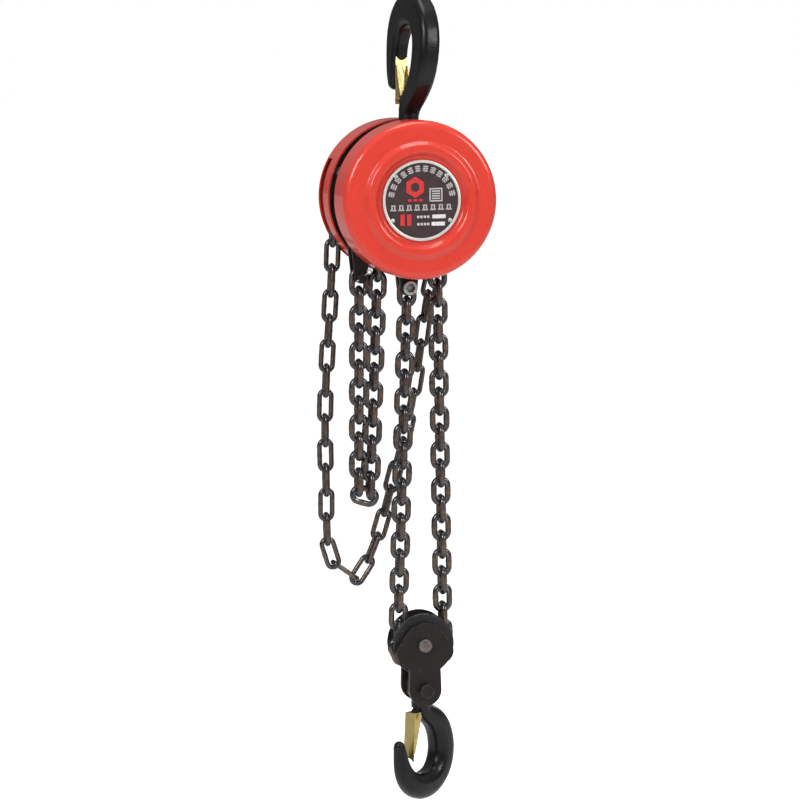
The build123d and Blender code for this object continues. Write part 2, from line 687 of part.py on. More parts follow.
def gear_bearing_plate():
    y0, y1 = BEARING_PLATE_Y
    circles = [(SHAFT_X + side * GEAR_CENTRES, SHAFT_Z, 13.0) for side in (-1, 1)]
    circles += [(*around(SPACER_REACH, angle), 9.0) for angle in SPACER_ANGLES]
    plate = plate_y(hull_of(circles), y0, y1)
    for x in (SHAFT_X - GEAR_CENTRES, SHAFT_X, SHAFT_X + GEAR_CENTRES):
        plate -= bar_y(6.5, y0 - 1, y1 + 1, x, SHAFT_Z)
    for angle in SPACER_ANGLES:
        plate -= bar_y(3.0, y0 - 1, y1 + 1, *around(SPACER_REACH, angle))
    return plate


def gear_bushes():
    """Bronze bushes of the disc gears and of the drive shaft's front journal."""
    bushes = []
    for side in (-1, 1):
        x = SHAFT_X + side * GEAR_CENTRES
        bushes.append(ring_y(6.5, 4.5 + RUNNING, -PLATE_OUTER, -PLATE_INNER, x, SHAFT_Z))
        bushes.append(ring_y(6.5, 4.5 + RUNNING, *BEARING_PLATE_Y, x, SHAFT_Z))
    bushes.append(ring_y(6.5, 5.0 + RUNNING, *BEARING_PLATE_Y, SHAFT_X, SHAFT_Z))
    return bushes


def guide_roller(side):
    return ring_y(ROLLER_RADIUS, ROLLER_PIN + RUNNING, -12.2, 12.2, SHAFT_X + side * ROLLER_X, ROLLER_Z)


def roller_pins():
    return [bar_y(ROLLER_PIN, -PLATE_OUTER, PLATE_OUTER, SHAFT_X + side * ROLLER_X, ROLLER_Z) for side in (-1, 1)]


def chain_stripper():
    """Block under the sprocket whose fin runs in the wheel's centre groove."""
    body = block(SHAFT_X - 9, SHAFT_X + 9, -12.4, 12.4, SHAFT_Z - 48, SHAFT_Z - 36)
    fin = block(SHAFT_X - 6, SHAFT_X + 6, -2.8, 2.8, SHAFT_Z - 37, SHAFT_Z - 20)
    stripper = body + fin
    stripper -= ring_y(36.0, 19.5, -2.9, 2.9, SHAFT_X, SHAFT_Z) & block(-80, -7, -3, 3, -200, -100)
    stripper -= bar_y(34.2, -12.5, -2.8, SHAFT_X, SHAFT_Z) + bar_y(34.2, 2.8, 12.5, SHAFT_X, SHAFT_Z)
    return stripper - bar_y(STRIPPER_PIN, -20, 20, SHAFT_X, STRIPPER_PIN_Z)


def stripper_pin():
    return bar_y(STRIPPER_PIN, -PLATE_OUTER, PLATE_OUTER, SHAFT_X, STRIPPER_PIN_Z)


def dead_end_clevis():
    """Two black cheeks joined at the top, which hold the end of the dead fall."""
    outline = hull_of([(ANCHOR_X, CLEVIS_BOLT_Z, 11.0), (ANCHOR_X, ANCHOR_Z, 8.4)])
    clevis = plate_y(outline, -9.0, 9.0)
    clevis -= block(-30, 30, -3.8, 3.8, ANCHOR_Z - 20, ANCHOR_Z + 11.5)
    clevis -= bar_y(ANCHOR_PIN, -20, 20, ANCHOR_X, ANCHOR_Z)
    return clevis - bar_y(ANCHOR_BOLT, -20, 20, ANCHOR_X, CLEVIS_BOLT_Z)


def clevis_bolt():
    bolt = bar_y(ANCHOR_BOLT, -23.0, 23.0, ANCHOR_X, CLEVIS_BOLT_Z)
    return bolt + hex_y(13.0, -23.0, -PLATE_OUTER, ANCHOR_X, CLEVIS_BOLT_Z)


def clevis_nut():
    nut = hex_y(13.0, PLATE_OUTER, 22.5, ANCHOR_X, CLEVIS_BOLT_Z)
    return nut - bar_y(ANCHOR_BOLT, 10, 30, ANCHOR_X, CLEVIS_BOLT_Z)


def anchor_pin():
    """Socket-head pin through the clevis and the dead fall's last link."""
    pin = bar_y(ANCHOR_PIN, -9.0, 11.5, ANCHOR_X, ANCHOR_Z) + bar_y(7.0, -15.0, -9.0, ANCHOR_X, ANCHOR_Z)
    pin = chamfer(pin.edges().filter_by(GeomType.CIRCLE).sort_by(Axis.Y)[0], 0.8)
    return pin - hex_y(8.0, -16.0, -11.0, ANCHOR_X, ANCHOR_Z)


def anchor_pin_nut():
    return hex_y(12.0, 9.0, 14.0, ANCHOR_X, ANCHOR_Z) - bar_y(ANCHOR_PIN, 0, 20, ANCHOR_X, ANCHOR_Z)


LUG_STRAP = 3.5


def slack_end_lug():
    """Pair of straps that hang on the lower left stay and hold the slack end of the chain."""
    x, z = around(STAY_RADIUS, STAY_ANGLES[2])
    outline = hull_of([(x, z, 9.5), (LUG_PIN_X, LUG_PIN_Z, 6.0)])
    straps = []
    for y0 in (-9.0, 9.0 - LUG_STRAP):
        strap = plate_y(outline, y0, y0 + LUG_STRAP)
        strap -= plate_y(Pos(x, z) * RegularPolygon(6.0, 6, major_radius=False), -20, 20)
        straps.append(strap - bar_y(ANCHOR_PIN, -20, 20, LUG_PIN_X, LUG_PIN_Z))
    return straps


def lug_pin():
    pin = bar_y(ANCHOR_PIN, -13.0, 11.0, LUG_PIN_X, LUG_PIN_Z)
    pin += bar_y(6.0, 9.0, 11.0, LUG_PIN_X, LUG_PIN_Z)
    return pin - Pos(LUG_PIN_X, -11.2, LUG_PIN_Z) * Rot(0, 55, 0) * Cylinder(1.0, 20)


def lug_cotter():
    """Bright split pin across the front end of the lug pin."""
    stem = Pos(0, 0, 0.5) * Cylinder(0.8, 15)
    eye = Pos(0, 0, 9.4) * Rot(90, 0, 0) * Torus(2.0, 0.6)
    return Pos(LUG_PIN_X, -11.2, LUG_PIN_Z) * Rot(0, 55, 0) * (stem + eye)


# ---------------------------------------------------------------- covers
def shell(points, wall):
    """Turned sheet-metal cover from its outer profile, as (radius, depth, corner radius) points."""
    outer = cover_volume(points, 0.0)
    inner = cover_volume(points, wall)
    inner += bar_y(points[0][0] - wall, -1.0, 3.0)
    return outer - inner


def cover_volume(points, wall):
    """Volume inside the profile moved inwards by wall, turned about the Y axis, opening at Y = 0."""
    corners = [(0.0, 0.0)]
    corners += [(radius - wall if i < 2 else radius, depth if i == 0 else depth - wall)
                for i, (radius, depth, _) in enumerate(points)]
    corners.append((0.0, points[-1][1] - wall))
    face = make_face(Polyline(*corners, close=True))
    for i, (radius, depth, bend) in enumerate(points):
        if bend:
            outward = bend - wall if bend > 0 else -bend + wall
            vertex = face.vertices().sort_by_distance((corners[i + 1][0], corners[i + 1][1]))[0]
            face = fillet(vertex, max(abs(outward), 0.4))
    return revolve(face, Axis.Y, 360)


def gear_cover():
    """Front cover: deep round rim, a raised ring and a flat centre for the rating plate."""
    depth = GEAR_COVER_FACE - COVER_RIM
    profile = [
        (COVER_RADIUS, 0.0, 0), (COVER_RADIUS, depth, SHOULDER), (57.5, depth, -3.0), (53.0, depth + 4.0, 3.0),
        (47.0, depth + 4.0, 3.0), (42.5, depth - 1.0, -2.5),
    ]
    cover = shell(profile, COVER_WALL)
    cover = Rot(180, 0, 0) * cover
    cover = Pos(SHAFT_X, -COVER_RIM, SHAFT_Z) * cover
    cover += cover_tabs(-PLATE_OUTER - 1.6, -PLATE_OUTER)
    for angle in RIVET_ANGLES:
        cover -= bar_y(RIVET_RADIUS, -60, -40, *around(RIVET_CIRCLE, angle))
    return cover


def hand_wheel_cover():
    """Rear cover with a domed centre and two openings for the hand chain."""
    depth = HAND_COVER_FACE - COVER_RIM
    boss = HAND_COVER_BOSS - COVER_RIM
    profile = [
        (COVER_RADIUS, 0.0, 0), (COVER_RADIUS, depth, SHOULDER), (38.0, depth, -4.0), (30.0, boss - 2.0, 4.0),
        (14.0, boss, 4.0),
    ]
    cover = Pos(SHAFT_X, COVER_RIM, SHAFT_Z) * shell(profile, COVER_WALL)
    cover += cover_tabs(PLATE_OUTER, PLATE_OUTER + 1.6)
    for start, sweep_angle in CHAIN_SLOTS:
        cover -= chain_slot(start, sweep_angle)
    return cover


CHAIN_SLOTS = ((150.0, 92.0), (284.0, 98.0))


def chain_slot(start, sweep_angle):
    """Wedge cut through the rim where the hand chain passes."""
    steps = 8
    points = [around(100.0, start + sweep_angle * k / steps) for k in range(steps + 1)]
    points += [around(66.0, start + sweep_angle * k / steps) for k in range(steps, -1, -1)]
    return plate_y(make_face(Polyline(*points, close=True)), HAND_CHAIN_Y - 11.0, HAND_CHAIN_Y + 10.5)


def cover_tabs(y0, y1):
    """Inward tabs on a cover's rim, which the screws hold."""
    tabs = None
    for angle in SCREW_ANGLES:
        x, z = around(SCREW_RADIUS, angle)
        tab = bar_y(5.0, y0, y1, x, z)
        ring = ring_y(COVER_RADIUS - 1.0, SCREW_RADIUS, y0, y1, SHAFT_X, SHAFT_Z)
        wide = bar_y(7.0, y0, y1, *around(SCREW_RADIUS + 5, angle))
        tab = (tab + (wide & ring)) - bar_y(SCREW_THREAD, y0 - 1, y1 + 1, x, z)
        tabs = tab if tabs is None else tabs + tab
    return tabs


def cover_screws(direction):
    """Pan-head screws from the chain gap through a plate into the nuts behind the cover tabs."""
    screws = []
    for angle in SCREW_ANGLES:
        x, z = around(SCREW_RADIUS, angle)
        head = bar_y(3.5, PLATE_INNER - 2.0, PLATE_INNER, x, z)
        stem = bar_y(SCREW_THREAD, PLATE_INNER, PLATE_OUTER + 5.0, x, z)
        slot = block(x - 4, x + 4, PLATE_INNER - 2.5, PLATE_INNER - 1.2, z - 0.5, z + 0.5)
        screw = head + stem - slot
        screws.append(screw if direction > 0 else mirror(screw, Plane.XZ))
    return screws


def cover_nuts(direction):
    nuts = []
    for angle in SCREW_ANGLES:
        x, z = around(SCREW_RADIUS, angle)
        y0, y1 = PLATE_OUTER + 1.6, PLATE_OUTER + 4.8
        nut = hex_y(7.0, y0, y1, x, z) - bar_y(SCREW_THREAD, y0 - 1, y1 + 1, x, z)
        nuts.append(nut if direction > 0 else mirror(nut, Plane.XZ))
    return nuts


# ---------------------------------------------------------------- rating plate
PLATE_FACE_Y = -(GEAR_COVER_FACE - 1.0)
NAMEPLATE_RADIUS = 39.2
NAMEPLATE_THICK = 0.8
RIVET_CIRCLE = 34.5
RIVET_RADIUS = 1.2
RIVET_ANGLES = (137.0, 43.0, 213.0, 325.0)


def nameplate():
    """Round rating plate with a raised silver rim; it carries no lettering."""
    plate = bar_y(NAMEPLATE_RADIUS, PLATE_FACE_Y - NAMEPLATE_THICK, PLATE_FACE_Y, SHAFT_X, SHAFT_Z)
    plate += ring_y(
        NAMEPLATE_RADIUS, NAMEPLATE_RADIUS - 1.6, PLATE_FACE_Y - NAMEPLATE_THICK - 0.5, PLATE_FACE_Y, SHAFT_X, SHAFT_Z
    )
    for angle in RIVET_ANGLES:
        plate -= bar_y(RIVET_RADIUS, -60, -40, *around(RIVET_CIRCLE, angle))
    return plate


def nameplate_rivets():
    rivets = []
    face = PLATE_FACE_Y - NAMEPLATE_THICK
    for angle in RIVET_ANGLES:
        x, z = around(RIVET_CIRCLE, angle)
        dome = Pos(x, face + 1.6, z) * Sphere(2.7) & block(x - 5, x + 5, face - 5, face, z - 5, z + 5)
        rivets.append(dome + bar_y(RIVET_RADIUS, face, PLATE_FACE_Y + COVER_WALL + 1.0, x, z))
    return rivets


# ---------------------------------------------------------------- hooks
def section_plane(origin, tangent):
    """Section plane across the hook's centre line, with local X in the hook's plane."""
    return Plane(origin=origin, x_dir=Vector(0, 1, 0).cross(tangent), z_dir=tangent)


def hook_body(path_points, sizes, roundness):
    """Forged hook along a smooth centre line in the XZ plane; sizes are (in-plane, across) half widths."""
    path = Spline(*[(x, 0, z) for x, z in path_points])
    faces = []
    steps = len(sizes) - 1
    for i, (deep, wide) in enumerate(sizes):
        at = i / steps
        corner = 0.96 if i in (0, steps) else roundness
        section = RectangleRounded(2 * deep, 2 * wide, corner * min(deep, wide))
        faces.append(section_plane(path @ at, path % at) * section)
    return loft(faces)


def turned(shape, angle):
    return Rot(0, 0, angle) * shape


SHANK = 8.0
SHANK_THREAD = 7.0
NECK = 10.0


def top_hook():
    """Bowl centre at the origin, tip towards local +X, shank down through the beam."""
    path = [
        (0, -66), (-4, -58), (-21, -38), (-31.0, -14), (-31.0, 10), (-19.5, 28.5), (0, 35.2), (18.5, 28.0),
        (30, 10), (32.5, -12), (33.5, -37),
    ]
    sizes = [
        (10.5, 10.0), (11.0, 9.8), (12.5, 10.2), (13.8, 10.4), (14.5, 10.4), (15.5, 10.4), (16.2, 10.2),
        (14.0, 9.6), (11.5, 9.0), (9.8, 8.6), (7.8, 7.4),
    ]
    hook = hook_body(path, sizes, 0.6)
    tip = Pos(33.5, 0, -37.0) * Sphere(7.6)
    neck = bar_z(NECK, -76.0, -60.0)
    shank = bar_z(SHANK, TOP_BEAM_Z - 10.5, -76.0) + bar_z(SHANK_THREAD, TOP_BEAM_Z - 18.5, TOP_BEAM_Z - 10.5)
    ear = hook_ear(TOP_EAR)
    hook = hook + tip + neck + shank + ear
    hook -= bar_y(SEAT_RADIUS, -30, 30)
    return turned(hook - bar_y(LATCH_PIN, -30, 30, *TOP_EAR), TOP_HOOK_TURN)


TOP_EAR = (13.5, -54.0)
LATCH_PIN = 1.8


def hook_ear(point):
    """Flat ear on the shank side that carries the safety latch."""
    x, z = point
    side = 1 if z < 0 else -1
    return plate_y(hull_of([(x, z, 4.1), (x - 11.0, z - 5.0 * side, 6.0)]), -3.0, 3.0)


def latch(pivot, tip):
    """Riveted sheet-metal latch: a tapering channel with its web outwards and a hollowed free end."""
    px, pz = pivot
    tx, tz = tip
    length = hypot(tx - px, tz - pz)
    angle = degrees(atan2(tz - pz, tx - px))
    out = -1 if tz > pz else 1
    web = block(-4.0, length, -6.3, 6.3, *sorted((4.4 * out, 5.6 * out)))
    side = make_face(Polyline(
        (-4.0, 5.6 * out), (-4.0, -4.0 * out), (6.0, -4.0 * out), (length - 8.0, 3.0 * out),
        (length - 8.0, 5.6 * out), close=True,
    ))
    body = web + plate_y(side, -6.3, -5.1) + plate_y(side, 5.1, 6.3)
    body -= Pos(length + 3.0, 0, 5.0 * out) * Cylinder(6.0, 10)
    body += latch_pin()
    return Pos(px, 0, pz) * Rot(0, -angle, 0) * body


def latch_pin():
    """Pin riveted in the latch, turning in the hook's ear."""
    return bar_y(LATCH_PIN - RUNNING, -7.0, 7.0) + bar_y(2.8, -8.0, -6.3) + bar_y(2.8, 6.3, 8.0)


TOP_LATCH_TIP = (16.9, -12.0)


def top_hook_beam():
    """Crosshead whose trunnions turn in the side plates and whose bore carries the hook shank."""
    beam = block(-13, 13, -11.9, 11.9, TOP_BEAM_Z - 10, TOP_BEAM_Z + 10)
    beam = fillet(beam.edges().filter_by(Axis.Y), 4.0)
    beam += bar_y(TRUNNION, -PLATE_OUTER + 0.2, PLATE_OUTER - 0.2, 0, TOP_BEAM_Z)
    return beam - bar_z(SHANK + RUNNING, TOP_BEAM_Z - 20, TOP_BEAM_Z + 20)


def shank_nut(beam_z, thread_z0):
    """Round slotted nut under the beam, with a cross pin hole."""
    top = beam_z - 10.6
    nut = bar_z(10.6, thread_z0, top) - bar_z(SHANK_THREAD, thread_z0 - 1, top + 1)
    return nut - Pos(0, 0, (top + thread_z0) / 2) * Rot(0, 90, 0) * Cylinder(1.2, 40)


# ---------------------------------------------------------------- lower block
def sheave():
    phase = SHEAVE_PHASE - chord_angle(LONG_STEP, SHEAVE_R)
    wheel = pocket_wheel(SHEAVE_POCKETS, SHEAVE_R, 31.5, 12.3, phase, LOAD_PITCH, LOAD_WIRE, LOAD_OUTER_WIDTH)
    wheel -= bar_y(9.5, -20, 20)
    return Pos(SHEAVE_X, 0, SHEAVE_Z) * wheel


SHEAVE_PIN = 6.7


def sheave_pin():
    pin = bar_y(SHEAVE_PIN, -21.0, 21.0, SHEAVE_X, SHEAVE_Z)
    return chamfer(pin.edges().filter_by(GeomType.CIRCLE), 0.8)


def sheave_bush():
    return ring_y(9.5, SHEAVE_PIN + RUNNING, -12.3, 12.3, SHEAVE_X, SHEAVE_Z)


def cheek(y0, y1):
    """Block cheek: round head over the sheave, side lobes, narrow neck and round foot."""
    head = hull_of([
        (SHEAVE_X, SHEAVE_Z, 22.5), (SHEAVE_X - 17.5, SHEAVE_Z - 7, 12.0), (SHEAVE_X + 17.5, SHEAVE_Z - 7, 12.0),
        (SHEAVE_X, SHEAVE_Z - 20, 13.0),
    ])
    foot = hull_of([
        (SHEAVE_X - 6, SHEAVE_Z - 28, 10.0), (SHEAVE_X + 6, SHEAVE_Z - 28, 10.0),
        (SHEAVE_X, BLOCK_BEAM_Z, 16.5),
    ])
    cheek_plate = plate_y(head, y0, y1) + plate_y(foot, y0, y1)
    corners = cheek_plate.edges().filter_by(Axis.Y)
    inner = [e for e in corners if SHEAVE_Z - 30 < e.center().Z < SHEAVE_Z - 15]
    if inner:
        cheek_plate = fillet(inner, 4.0)
    cheek_plate -= bar_y(SHEAVE_PIN, y0 - 1, y1 + 1, SHEAVE_X, SHEAVE_Z)
    return cheek_plate - bar_y(TRUNNION, y0 - 1, y1 + 1, SHEAVE_X, BLOCK_BEAM_Z)


def front_cheek():
    return cheek(-CHEEK_INNER - CHEEK_THICK, -CHEEK_INNER)


def rear_cheek():
    return cheek(CHEEK_INNER, CHEEK_INNER + CHEEK_THICK)


def bottom_hook_beam():
    """Crosshead pinned in the cheeks, with an upset head on each end."""
    z = BLOCK_BEAM_Z
    beam = block(SHEAVE_X - 12.5, SHEAVE_X + 12.5, -12.5, 12.5, z - 10, z + 9.5)
    beam = fillet(beam.edges().filter_by(Axis.Y), 4.0)
    pin = bar_y(TRUNNION, -25.0, 25.0, SHEAVE_X, z)
    beam += chamfer(pin.edges().filter_by(GeomType.CIRCLE), 0.8)
    beam -= bar_z(SHANK + RUNNING, z - 20, z + 1.5, SHEAVE_X)
    return beam - bar_z(11.0, z + 0.5, z + 20, SHEAVE_X)


def bottom_hook():
    """Tip towards local +X and up, shank up into the block; bowl centre at the local origin."""
    rise = BLOCK_BEAM_Z - BOTTOM_SEAT_Z
    path = [
        (0, rise - 16), (-2.5, rise - 22), (-20, 32), (-31.5, 12), (-31.5, -8), (-20, -25.5), (0, -32.0),
        (20, -25.5), (32.5, -8), (36, 6), (37.5, 15),
    ]
    sizes = [
        (9.5, 9.5), (10.5, 10.0), (12.5, 11.5), (13.5, 12.0), (13.5, 12.5), (13.5, 12.5), (14.0, 12.5),
        (13.0, 12.0), (10.5, 10.0), (8.0, 7.5), (6.0, 5.5),
    ]
    hook = hook_body(path, sizes, 0.92)
    tip = Pos(37.5, 0, 15.0) * Sphere(5.4)
    neck = bar_z(NECK, rise - 20, rise - 10.2)
    shank = bar_z(SHANK, rise - 10.2, rise + 0.6) + bar_z(SHANK_THREAD, rise + 0.6, rise + 8.0)
    hook = hook + tip + neck + shank + hook_ear(BOTTOM_EAR)
    hook -= bar_y(SEAT_RADIUS, -30, 30)
    hook -= bar_y(LATCH_PIN, -30, 30, *BOTTOM_EAR)
    return bottom_placed(hook)


BOTTOM_EAR = (13.0, 41.0)
BOTTOM_LATCH_TIP = (17.0, -3.5)


def bottom_placed(shape):
    return Pos(SHEAVE_X, 0, BOTTOM_SEAT_Z) * turned(shape, BOTTOM_HOOK_TURN)


def bottom_shank_nut():
    nut = bar_z(10.6, BLOCK_BEAM_Z + 0.7, BLOCK_BEAM_Z + 8.0, SHEAVE_X)
    return nut - bar_z(SHANK_THREAD, BLOCK_BEAM_Z - 1, BLOCK_BEAM_Z + 20, SHEAVE_X)


# ---------------------------------------------------------------- all sub-parts
def build_frame():
    write("gear_side_plate", gear_side_plate())
    write("hand_side_plate", hand_side_plate())
    write("stay_bolts", stay_bolts())
    write("frame_nuts", stay_nuts() + gear_spacer_nuts())
    write("gear_spacers", gear_spacers())
    write("gear_bearing_plate", gear_bearing_plate())
    write("gear_bushes", gear_bushes())
    write("guide_roller_left", guide_roller(-1))
    write("guide_roller_right", guide_roller(1))
    write("guide_pins", roller_pins() + [stripper_pin()])
    write("chain_stripper", chain_stripper())
    write("dead_end_clevis", dead_end_clevis())
    write("anchor_fasteners", [clevis_bolt(), clevis_nut(), anchor_pin_nut()])
    write("anchor_pin", anchor_pin())
    write("slack_end_lug", slack_end_lug())
    write("lug_pin", lug_pin())
    write("lug_cotter", lug_cotter())


def build_covers():
    write("gear_cover", gear_cover())
    write("hand_wheel_cover", hand_wheel_cover())
    write("cover_screws", cover_screws(-1) + cover_screws(1))
    write("cover_nuts", cover_nuts(-1) + cover_nuts(1))
    write("nameplate", nameplate())
    write("nameplate_rivets", nameplate_rivets())


def build_drive():
    write("drive_shaft", drive_shaft())
    write("friction_hub", friction_hub())
    write("friction_discs", friction_discs())
    write("ratchet_disc", ratchet_disc())
    write("pawl_upper", pawl(PAWL_ANGLES[0]))
    write("pawl_lower", pawl(PAWL_ANGLES[1]))
    write("pawl_studs", pawl_studs())
    write("pawl_springs", pawl_springs())
    write("hand_wheel", hand_wheel())
    write("castle_nut", castle_nut())
    write("split_pin", split_pin())
    write("disc_gear_left", disc_gear(-1))
    write("disc_gear_right", disc_gear(1))
    write("load_gear", load_gear())
    write("load_gear_ring", load_gear_ring())
    write("load_sprocket", load_sprocket())
    write("load_bearings", bearing_outer_rings() + bearing_balls())
    write("bearing_inner_rings", bearing_inner_rings())


def build_hooks():
    write("top_hook", top_hook(), LEANING)
    write("top_shank_nut", shank_nut(TOP_BEAM_Z, TOP_BEAM_Z - 18.0), LEANING)
    write("top_hook_beam", top_hook_beam(), LEANING)
    write("top_latch", turned(latch(TOP_EAR, TOP_LATCH_TIP), TOP_HOOK_TURN), LEANING)
    write("bottom_hook", bottom_hook())
    write("bottom_shank_nut", bottom_shank_nut())
    write("bottom_latch", bottom_placed(latch(BOTTOM_EAR, BOTTOM_LATCH_TIP)))


def build_block():
    write("block_cheeks", [front_cheek(), rear_cheek()])
    write("sheave", sheave())
    write("sheave_pin", sheave_pin())
    write("sheave_bush", sheave_bush())
    write("bottom_hook_beam", bottom_hook_beam())


def build_chains():
    write("live_fall", live_fall())
    write("dead_fall", dead_fall())
    write("slack_loop", slack_loop())
    write("sprocket_wrap", sprocket_wrap())
    write("sheave_wrap", sheave_wrap())
    write("hand_chain_loop", hand_chain_loop())
    write("hand_chain_wrap", hand_chain_wrap())


os.makedirs("parts", exist_ok=True)
build_frame()
build_covers()
build_drive()
build_hooks()
build_block()
build_chains()
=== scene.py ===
"""Looks of the hand chain hoist: finishes, forged links, latch springs, plate marks, light and camera."""
import json
import math
import random

import bpy
import bmesh
import numpy as np
from mathutils import Matrix, Vector

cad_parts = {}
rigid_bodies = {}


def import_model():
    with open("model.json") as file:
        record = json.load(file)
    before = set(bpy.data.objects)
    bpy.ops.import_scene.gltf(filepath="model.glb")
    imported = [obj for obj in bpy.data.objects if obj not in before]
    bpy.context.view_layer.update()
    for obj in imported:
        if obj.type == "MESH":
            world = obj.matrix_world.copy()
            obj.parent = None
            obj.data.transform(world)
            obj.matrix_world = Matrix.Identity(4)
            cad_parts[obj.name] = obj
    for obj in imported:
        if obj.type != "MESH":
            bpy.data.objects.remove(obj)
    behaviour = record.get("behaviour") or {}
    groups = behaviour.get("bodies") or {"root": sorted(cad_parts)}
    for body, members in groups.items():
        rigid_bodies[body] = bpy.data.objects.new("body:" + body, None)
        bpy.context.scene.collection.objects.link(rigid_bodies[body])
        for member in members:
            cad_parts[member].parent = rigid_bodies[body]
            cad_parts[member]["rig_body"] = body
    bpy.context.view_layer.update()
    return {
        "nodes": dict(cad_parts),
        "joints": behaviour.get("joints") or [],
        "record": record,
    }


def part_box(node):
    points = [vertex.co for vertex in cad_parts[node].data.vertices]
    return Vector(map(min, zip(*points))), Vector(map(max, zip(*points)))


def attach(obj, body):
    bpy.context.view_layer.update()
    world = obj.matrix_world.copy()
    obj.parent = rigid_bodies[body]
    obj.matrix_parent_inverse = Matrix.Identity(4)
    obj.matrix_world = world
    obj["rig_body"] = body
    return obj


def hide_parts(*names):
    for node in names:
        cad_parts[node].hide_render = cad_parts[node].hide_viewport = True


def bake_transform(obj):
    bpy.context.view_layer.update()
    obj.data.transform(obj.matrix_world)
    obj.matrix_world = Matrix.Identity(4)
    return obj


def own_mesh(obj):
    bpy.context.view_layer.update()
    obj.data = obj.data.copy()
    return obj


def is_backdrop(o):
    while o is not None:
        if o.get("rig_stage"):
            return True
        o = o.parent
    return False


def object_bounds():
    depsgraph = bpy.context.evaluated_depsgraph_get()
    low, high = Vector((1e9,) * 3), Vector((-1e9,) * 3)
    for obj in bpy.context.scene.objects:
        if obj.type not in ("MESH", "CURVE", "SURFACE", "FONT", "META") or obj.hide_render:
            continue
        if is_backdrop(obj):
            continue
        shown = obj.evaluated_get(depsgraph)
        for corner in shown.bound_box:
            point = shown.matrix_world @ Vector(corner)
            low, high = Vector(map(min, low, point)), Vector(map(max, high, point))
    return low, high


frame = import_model()
nodes = frame["nodes"]
joints = {joint["name"]: joint for joint in frame["joints"]}
slot_of = {row["node"]: row["material_slot"] for row in frame["record"]["subparts"]}

MM = 0.001
RANDOM = random.Random(7)


# ---------------------------------------------------------------- node helpers
def start_finish(name, colour, roughness, metallic=0.0):
    """A material with a Principled shader, plus object coordinates for its textures."""
    material = bpy.data.materials.new(name)
    material.use_nodes = True
    material.diffuse_color = (*colour, 1.0)
    tree = material.node_tree
    shader = tree.nodes["Principled BSDF"]
    shader.inputs["Base Color"].default_value = (*colour, 1.0)
    shader.inputs["Roughness"].default_value = roughness
    shader.inputs["Metallic"].default_value = metallic
    coords = tree.nodes.new("ShaderNodeTexCoord").outputs["Object"]
    return material, tree, shader, coords


def noise(tree, coords, scale, detail=4.0, roughness=0.55, stretch=None):
    """Grey noise; the scale counts features per metre."""
    if stretch is not None:
        mapping = tree.nodes.new("ShaderNodeMapping")
        mapping.inputs["Scale"].default_value = stretch
        tree.links.new(coords, mapping.inputs["Vector"])
        coords = mapping.outputs["Vector"]
    node = tree.nodes.new("ShaderNodeTexNoise")
    node.inputs["Scale"].default_value = scale
    node.inputs["Detail"].default_value = detail
    node.inputs["Roughness"].default_value = roughness
    tree.links.new(coords, node.inputs["Vector"])
    return node.outputs["Fac"]


def steps(tree, value, *stops):
    """Colour ramp from (position, colour or grey) stops."""
    node = tree.nodes.new("ShaderNodeValToRGB")
    ramp = node.color_ramp
    while len(ramp.elements) < len(stops):
        ramp.elements.new(0.5)
    for element, (position, colour) in zip(ramp.elements, stops):
        element.position = position
        grey = isinstance(colour, (int, float))
        element.color = (colour, colour, colour, 1.0) if grey else (*colour, 1.0)
    tree.links.new(value, node.inputs["Fac"])
    return node.outputs["Color"]


def mixed(tree, share, first, second, blend="MIX"):
    """Two colours mixed; each is a socket or a colour."""
    node = tree.nodes.new("ShaderNodeMix")
    node.data_type = "RGBA"
    node.blend_type = blend
    for socket, value in (("Factor", share), ("A", first), ("B", second)):
        target = [s for s in node.inputs if s.name == socket and s.enabled][0]
        if isinstance(value, bpy.types.NodeSocket):
            tree.links.new(value, target)
        elif isinstance(value, tuple):
            target.default_value = (*value, 1.0)
        else:
            target.default_value = value
    return [s for s in node.outputs if s.enabled][0]


def combined(tree, operation, first, second):
    node = tree.nodes.new("ShaderNodeMath")
    node.operation = operation
    for target, value in zip(node.inputs, (first, second)):
        if isinstance(value, bpy.types.NodeSocket):
            tree.links.new(value, target)
        else:
            target.default_value = value
    return node.outputs["Value"]


def relief(tree, shader, *layers):
    """Bump layers given as (height socket, depth in metres, strength)."""
    normal = None
    for height, depth, strength in layers:
        node = tree.nodes.new("ShaderNodeBump")
        node.inputs["Strength"].default_value = strength
        node.inputs["Distance"].default_value = depth
        tree.links.new(height, node.inputs["Height"])
        if normal is not None:
            tree.links.new(normal, node.inputs["Normal"])
        normal = node.outputs["Normal"]
    tree.links.new(normal, shader.inputs["Normal"])


def edge_share(tree, radius, low, high):
    """1 along sharp edges, 0 on open faces, from how far a rounded normal leans off the true one."""
    bevel = tree.nodes.new("ShaderNodeBevel")
    bevel.samples = 4
    bevel.inputs["Radius"].default_value = radius
    geometry = tree.nodes.new("ShaderNodeNewGeometry")
    dot = tree.nodes.new("ShaderNodeVectorMath")
    dot.operation = "DOT_PRODUCT"
    tree.links.new(bevel.outputs["Normal"], dot.inputs[0])
    tree.links.new(geometry.outputs["Normal"], dot.inputs[1])
    return steps(tree, combined(tree, "SUBTRACT", 1.0, dot.outputs["Value"]), (low, 0.0), (high, 1.0))


def occlusion_shade_share(tree, distance, low, high):
    """1 in corners and under overhangs, where shade falls, 0 in the open; it masks painted shade."""
    occlusion = tree.nodes.new("ShaderNodeAmbientOcclusion")
    occlusion.samples = 4
    occlusion.inputs["Distance"].default_value = distance
    return steps(tree, occlusion.outputs["AO"], (low, 1.0), (high, 0.0))


